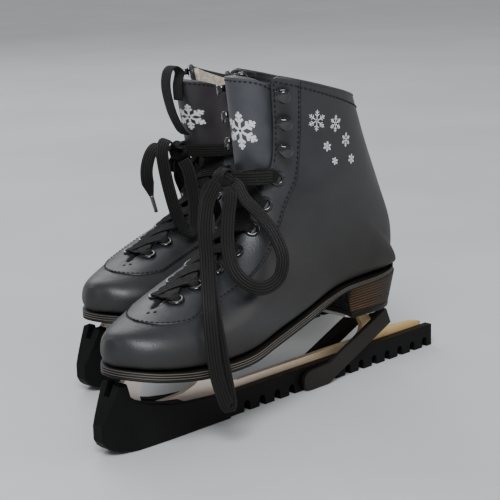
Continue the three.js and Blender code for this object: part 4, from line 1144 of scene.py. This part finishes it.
def laced(side, last, stations):
    """The crossings from eyelet to eyelet, the two short ends to the knot, and the knot."""
    parts = []
    knot = np.array(KNOTS[side])

    def crossing(i, si, j, sj, rise):
        (p, n, a, _), (q, m, b, _) = last.fitting(stations[i], si), last.fitting(stations[j], sj)
        k = (stations[i] + stations[j]) / 2
        middle = last.at(k, 1e-4)
        up = unit(middle - last.at(k, 1e-4, 5))
        start, end = (
            [at - out * 0.6, at + out * 2.3 - away * 1.2, at - away * 4.5 + out * 3.1]
            for at, out, away in ((p, n, a), (q, m, b))
        )
        path = smooth_path([*start, middle + up * (2.2 + rise), *end[::-1]], 1.2)
        t = np.linspace(0, 1, len(path))
        turn = np.clip(1 - np.minimum(t, 1 - t) / 0.14, 0, 1)  # where the lace turns down into an eyelet
        thin = []
        for x, w in zip(t, turn):
            lying = n * max(1 - 2 * x, 0) + m * max(2 * x - 1, 0) + up * (1 - abs(2 * x - 1))
            thin.append(lying * (1 - w) + (a if x < 0.5 else b) * w)
        pinch = np.clip(np.minimum(t, 1 - t) / 0.2, 0, 1) ** 0.6
        parts.append(ribbon(path, thin, 4.6 + (LACE_WIDTH - 4.6) * pinch, 1.9 + (LACE_THICK - 1.9) * pinch))

    crossing(0, 1, 0, -1, 0.0)
    for i in range(EYELET_PAIRS - 1):
        crossing(i, 1, i + 1, -1, 0.0)
        crossing(i, -1, i + 1, 1, 1.6)
    for s in (1, -1):
        p, out, away, _ = last.fitting(stations[-1], s)
        middle = (p + knot) / 2 + out * 5
        path = smooth_path([p - out * 0.6, p + out * 2.4 - away * 2, middle, knot + np.array([2, 4.0 * -s, 0])], 1.5)
        t = np.linspace(0, 1, len(path))
        turn = np.clip(1 - t / 0.14, 0, 1)[:, None]
        width = 4.8 + (LACE_WIDTH - 4.8) * np.clip(t / 0.25, 0, 1)
        parts.append(ribbon(path, out * (1 - turn) + away * turn, width, LACE_THICK))
    # the knot: a core with two turns of lace round it
    for tilt, radius, size in ((0.25, 5.0, 7.5), (-0.5, 5.6, 6.5)):
        a = np.linspace(0, 2 * math.pi * 0.97, 40)
        ring = np.column_stack([radius * 1.05 * np.cos(a), 1.8 * np.sin(a + 0.6), radius * np.sin(a)])
        c, s = math.cos(tilt), math.sin(tilt)
        ring = np.column_stack([ring[:, 0], c * ring[:, 1] - s * ring[:, 2], s * ring[:, 1] + c * ring[:, 2]])
        parts.append(ribbon(knot + ring, ring, size, 1.7))
    core = np.array([knot + [0, y, 0] for y in np.linspace(-7, 7, 12)])
    bulge = np.sqrt(1 - np.linspace(-0.9, 0.9, 12) ** 2)
    parts.append(ribbon(core, (1, 0, 0.2), 8.5 * bulge, 7.5 * bulge, corner=2.2))
    obj = joined(f"{side}_lacing", parts, LACE, "lace")
    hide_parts(f"{side}_lace_laced")


def pull_loop():
    head, front, lean, _, _ = TONGUES["right"]
    x = HINGE_X + front - lean
    route = [
        (x - 1.2, 0, head - 13), (x - 1.6, 0, head - 3), (x + 0.5, 0, head + 6), (x - 5, 0, head + 10.5),
        (x - 11, 0, head + 7), (x - 12.5, 0, head - 4), (x - 8, 0, head - 20), (x - 0.5, 0, head - 33),
        (x + 4, 0, head - 37),
    ]
    path = smooth_path(route, 1.2)
    tangent = unit(np.gradient(path, axis=0))
    thin = np.column_stack([-tangent[:, 2], np.zeros(len(path)), tangent[:, 0]])
    obj = band("right_webbing_loop", path, thin, 9.0, 1.3, WEBBING, "lace", "tongue_top")
    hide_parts("right_pull_loop")


# ---- Printed marks ----
def flake(radius, width):
    """A plain six-armed ice crystal as flat strips (quads of points in a plane)."""
    strips = []
    for i in range(6):
        a = math.pi / 6 + i * math.pi / 3
        d = np.array([math.cos(a), math.sin(a)])
        strips.append((d * radius * 0.08, d * radius))
        for share, size in ((0.45, 0.3), (0.7, 0.24)):
            for turn in (-1, 1):
                b = a + turn * math.pi / 3.4
                branch = np.array([math.cos(b), math.sin(b)]) * radius * size
                strips.append((d * radius * share, d * radius * share + branch))
    quads = []
    for p, q in strips:
        d = unit(q - p)
        n = np.array([-d[1], d[0]]) * width / 2
        for t in range(4):
            a, b = p + (q - p) * t / 4, p + (q - p) * (t + 1) / 4
            quads.append([a + n, a - n, b - n, b + n])
    return np.array(quads)


def printed(name, quads, mapped, body="skate"):
    """A mark on a curved surface. mapped takes points of its plane to that surface."""
    faces = np.arange(4 * len(quads)).reshape(-1, 4).tolist()
    obj = piece(name, mapped(quads.reshape(-1, 2)), faces, PRINT, body=body)
    face_outwards(obj)


def tongue_print(side):
    half = TONGUES[side][3]

    def mapped(p):
        s = p[:, 0] / half * 0.62 + 0.12
        t = (p[:, 1] - 2) / 60 + 0.5
        return tongue_point(side, s, t, 0.18)

    printed(f"{side}_tongue_mark", flake(11.5, 1.7), mapped, "tongue_top")


def shaft_print(side, last):
    outer = 1 if side == "left" else -1
    places = ((-15, 9, 7.0), (1, 8, 5.0), (-5, -7, 3.6), (12, -1, 4.2), (3, -16, 2.8), (19, -12, 3.2))
    quads = np.vstack([flake(r, 0.6) + np.array([u, v]) for u, v, r in places])

    def mapped(p):
        # p is in mm on the shaft: to the back and up
        k = 13.35 + (p[:, 1] + p[:, 0] * 0.28) / 16.0
        girth = 66 + p[:, 0]
        return last.at(k, outer * last.angle(k, girth), -0.12)

    printed(f"{side}_shaft_mark", quads, mapped)


# ---- Steel and guards, kept from the frame ----
def refine(node, mat, bevel, segments=2, angle=28):
    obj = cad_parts[node]
    if not obj.data.materials:
        obj.data.materials.append(mat)
    for s in obj.material_slots:
        s.material = mat
    weld = obj.modifiers.new("weld", "WELD")
    weld.merge_threshold = 0.00001
    bevelled(obj, bevel, angle, segments)
    if angle < 25:  # a moulded piece is shaded round
        obj.data.polygons.foreach_set("use_smooth", [True] * len(obj.data.polygons))
        soft = obj.modifiers.new("soft", "WEIGHTED_NORMAL")
        soft.keep_sharp = True


def screws(side):
    """Screw heads under the sole plate and the heel plate."""
    sole, heel_plate = ((26, 8), (44, 19), (92, 19), (105, 10)), ((208, 12), (234, 13), (220, 15))
    points = [(x, y * s, float(sole_under(x)) - 2.5) for x, y in sole for s in (1, -1)]
    points += [(x, y * s, 42.7) for x, y in heel_plate for s in (1, -1)]
    down = [(0, 0, -1)] * len(points)
    grown(f"{side}_screws", DOMES, PLATE_STEEL, points, facing=down, slot="steel", Radius=0.0032, Rise=0.0011)


def eyelets(side, last, stations):
    """Rings in the facings, and two small holes below the throat."""
    frames = [last.fitting(k, s) for k in stations for s in (1, -1)]
    points, facing = [f[0] + f[1] * 1.3 for f in frames], [f[1] for f in frames]
    grown(f"{side}_eyelets", RINGS, ENAMEL, points, facing=facing, slot="hook")
    # the holes are drawn as dark domes: painted shade in place of their hollows
    holes = [last.frame(k, a) for k, a in ((3.12, 0.03), (3.27, 0.13))]
    points, facing = [h[0] + h[1] * 0.75 for h in holes], [h[1] for h in holes]
    grown(f"{side}_pin_holes", DOMES, THREAD, points, facing=facing, Radius=0.0011, Rise=0.0002)


# ---- Build both skates ----
for side in SIDES:
    last = Last(side)
    eyelet_stations, hook_stations = row_stations(last)
    free_laces(side)
    laced(side, last, eyelet_stations)
    for soft in (upper, facings, lining, throat_pile, insole, backstay, collar_bead, tongue_low):
        soft(side, last)
    tongue_top(side)
    tongue_print(side)
    shaft_print(side, last)
    outsole(side)
    heel(side)
    hooks(side, last, hook_stations)
    screws(side)
    eyelets(side, last, eyelet_stations)
    stitched(f"{side}_stitches", boot_seams(last))
    rim = tongue_point(side, np.linspace(-0.93, 0.93, 70), 0.965, 0.15)
    stitched(f"{side}_tongue_stitches", [rim], "tongue_top")
    for node, *look in (
        ("blade", STEEL, 0.35), ("sole_plate", PLATE_STEEL, 0.3), ("heel_plate", PLATE_STEEL, 0.3),
        ("guard_front", GUARD, 1.3, 4, 14), ("guard_rear", GUARD, 0.4), ("guard_strap", STRAP, 0.8, 3, 24),
    ):
        refine(f"{side}_{node}", *look)
pull_loop()

floor = bpy.data.meshes.new("floor")
floor.from_pydata([(-6, -6, 0), (6, -6, 0), (6, 6, 0), (-6, 6, 0)], [], [(0, 1, 2, 3)])
floor.materials.append(FLOOR)
placed("floor", floor)
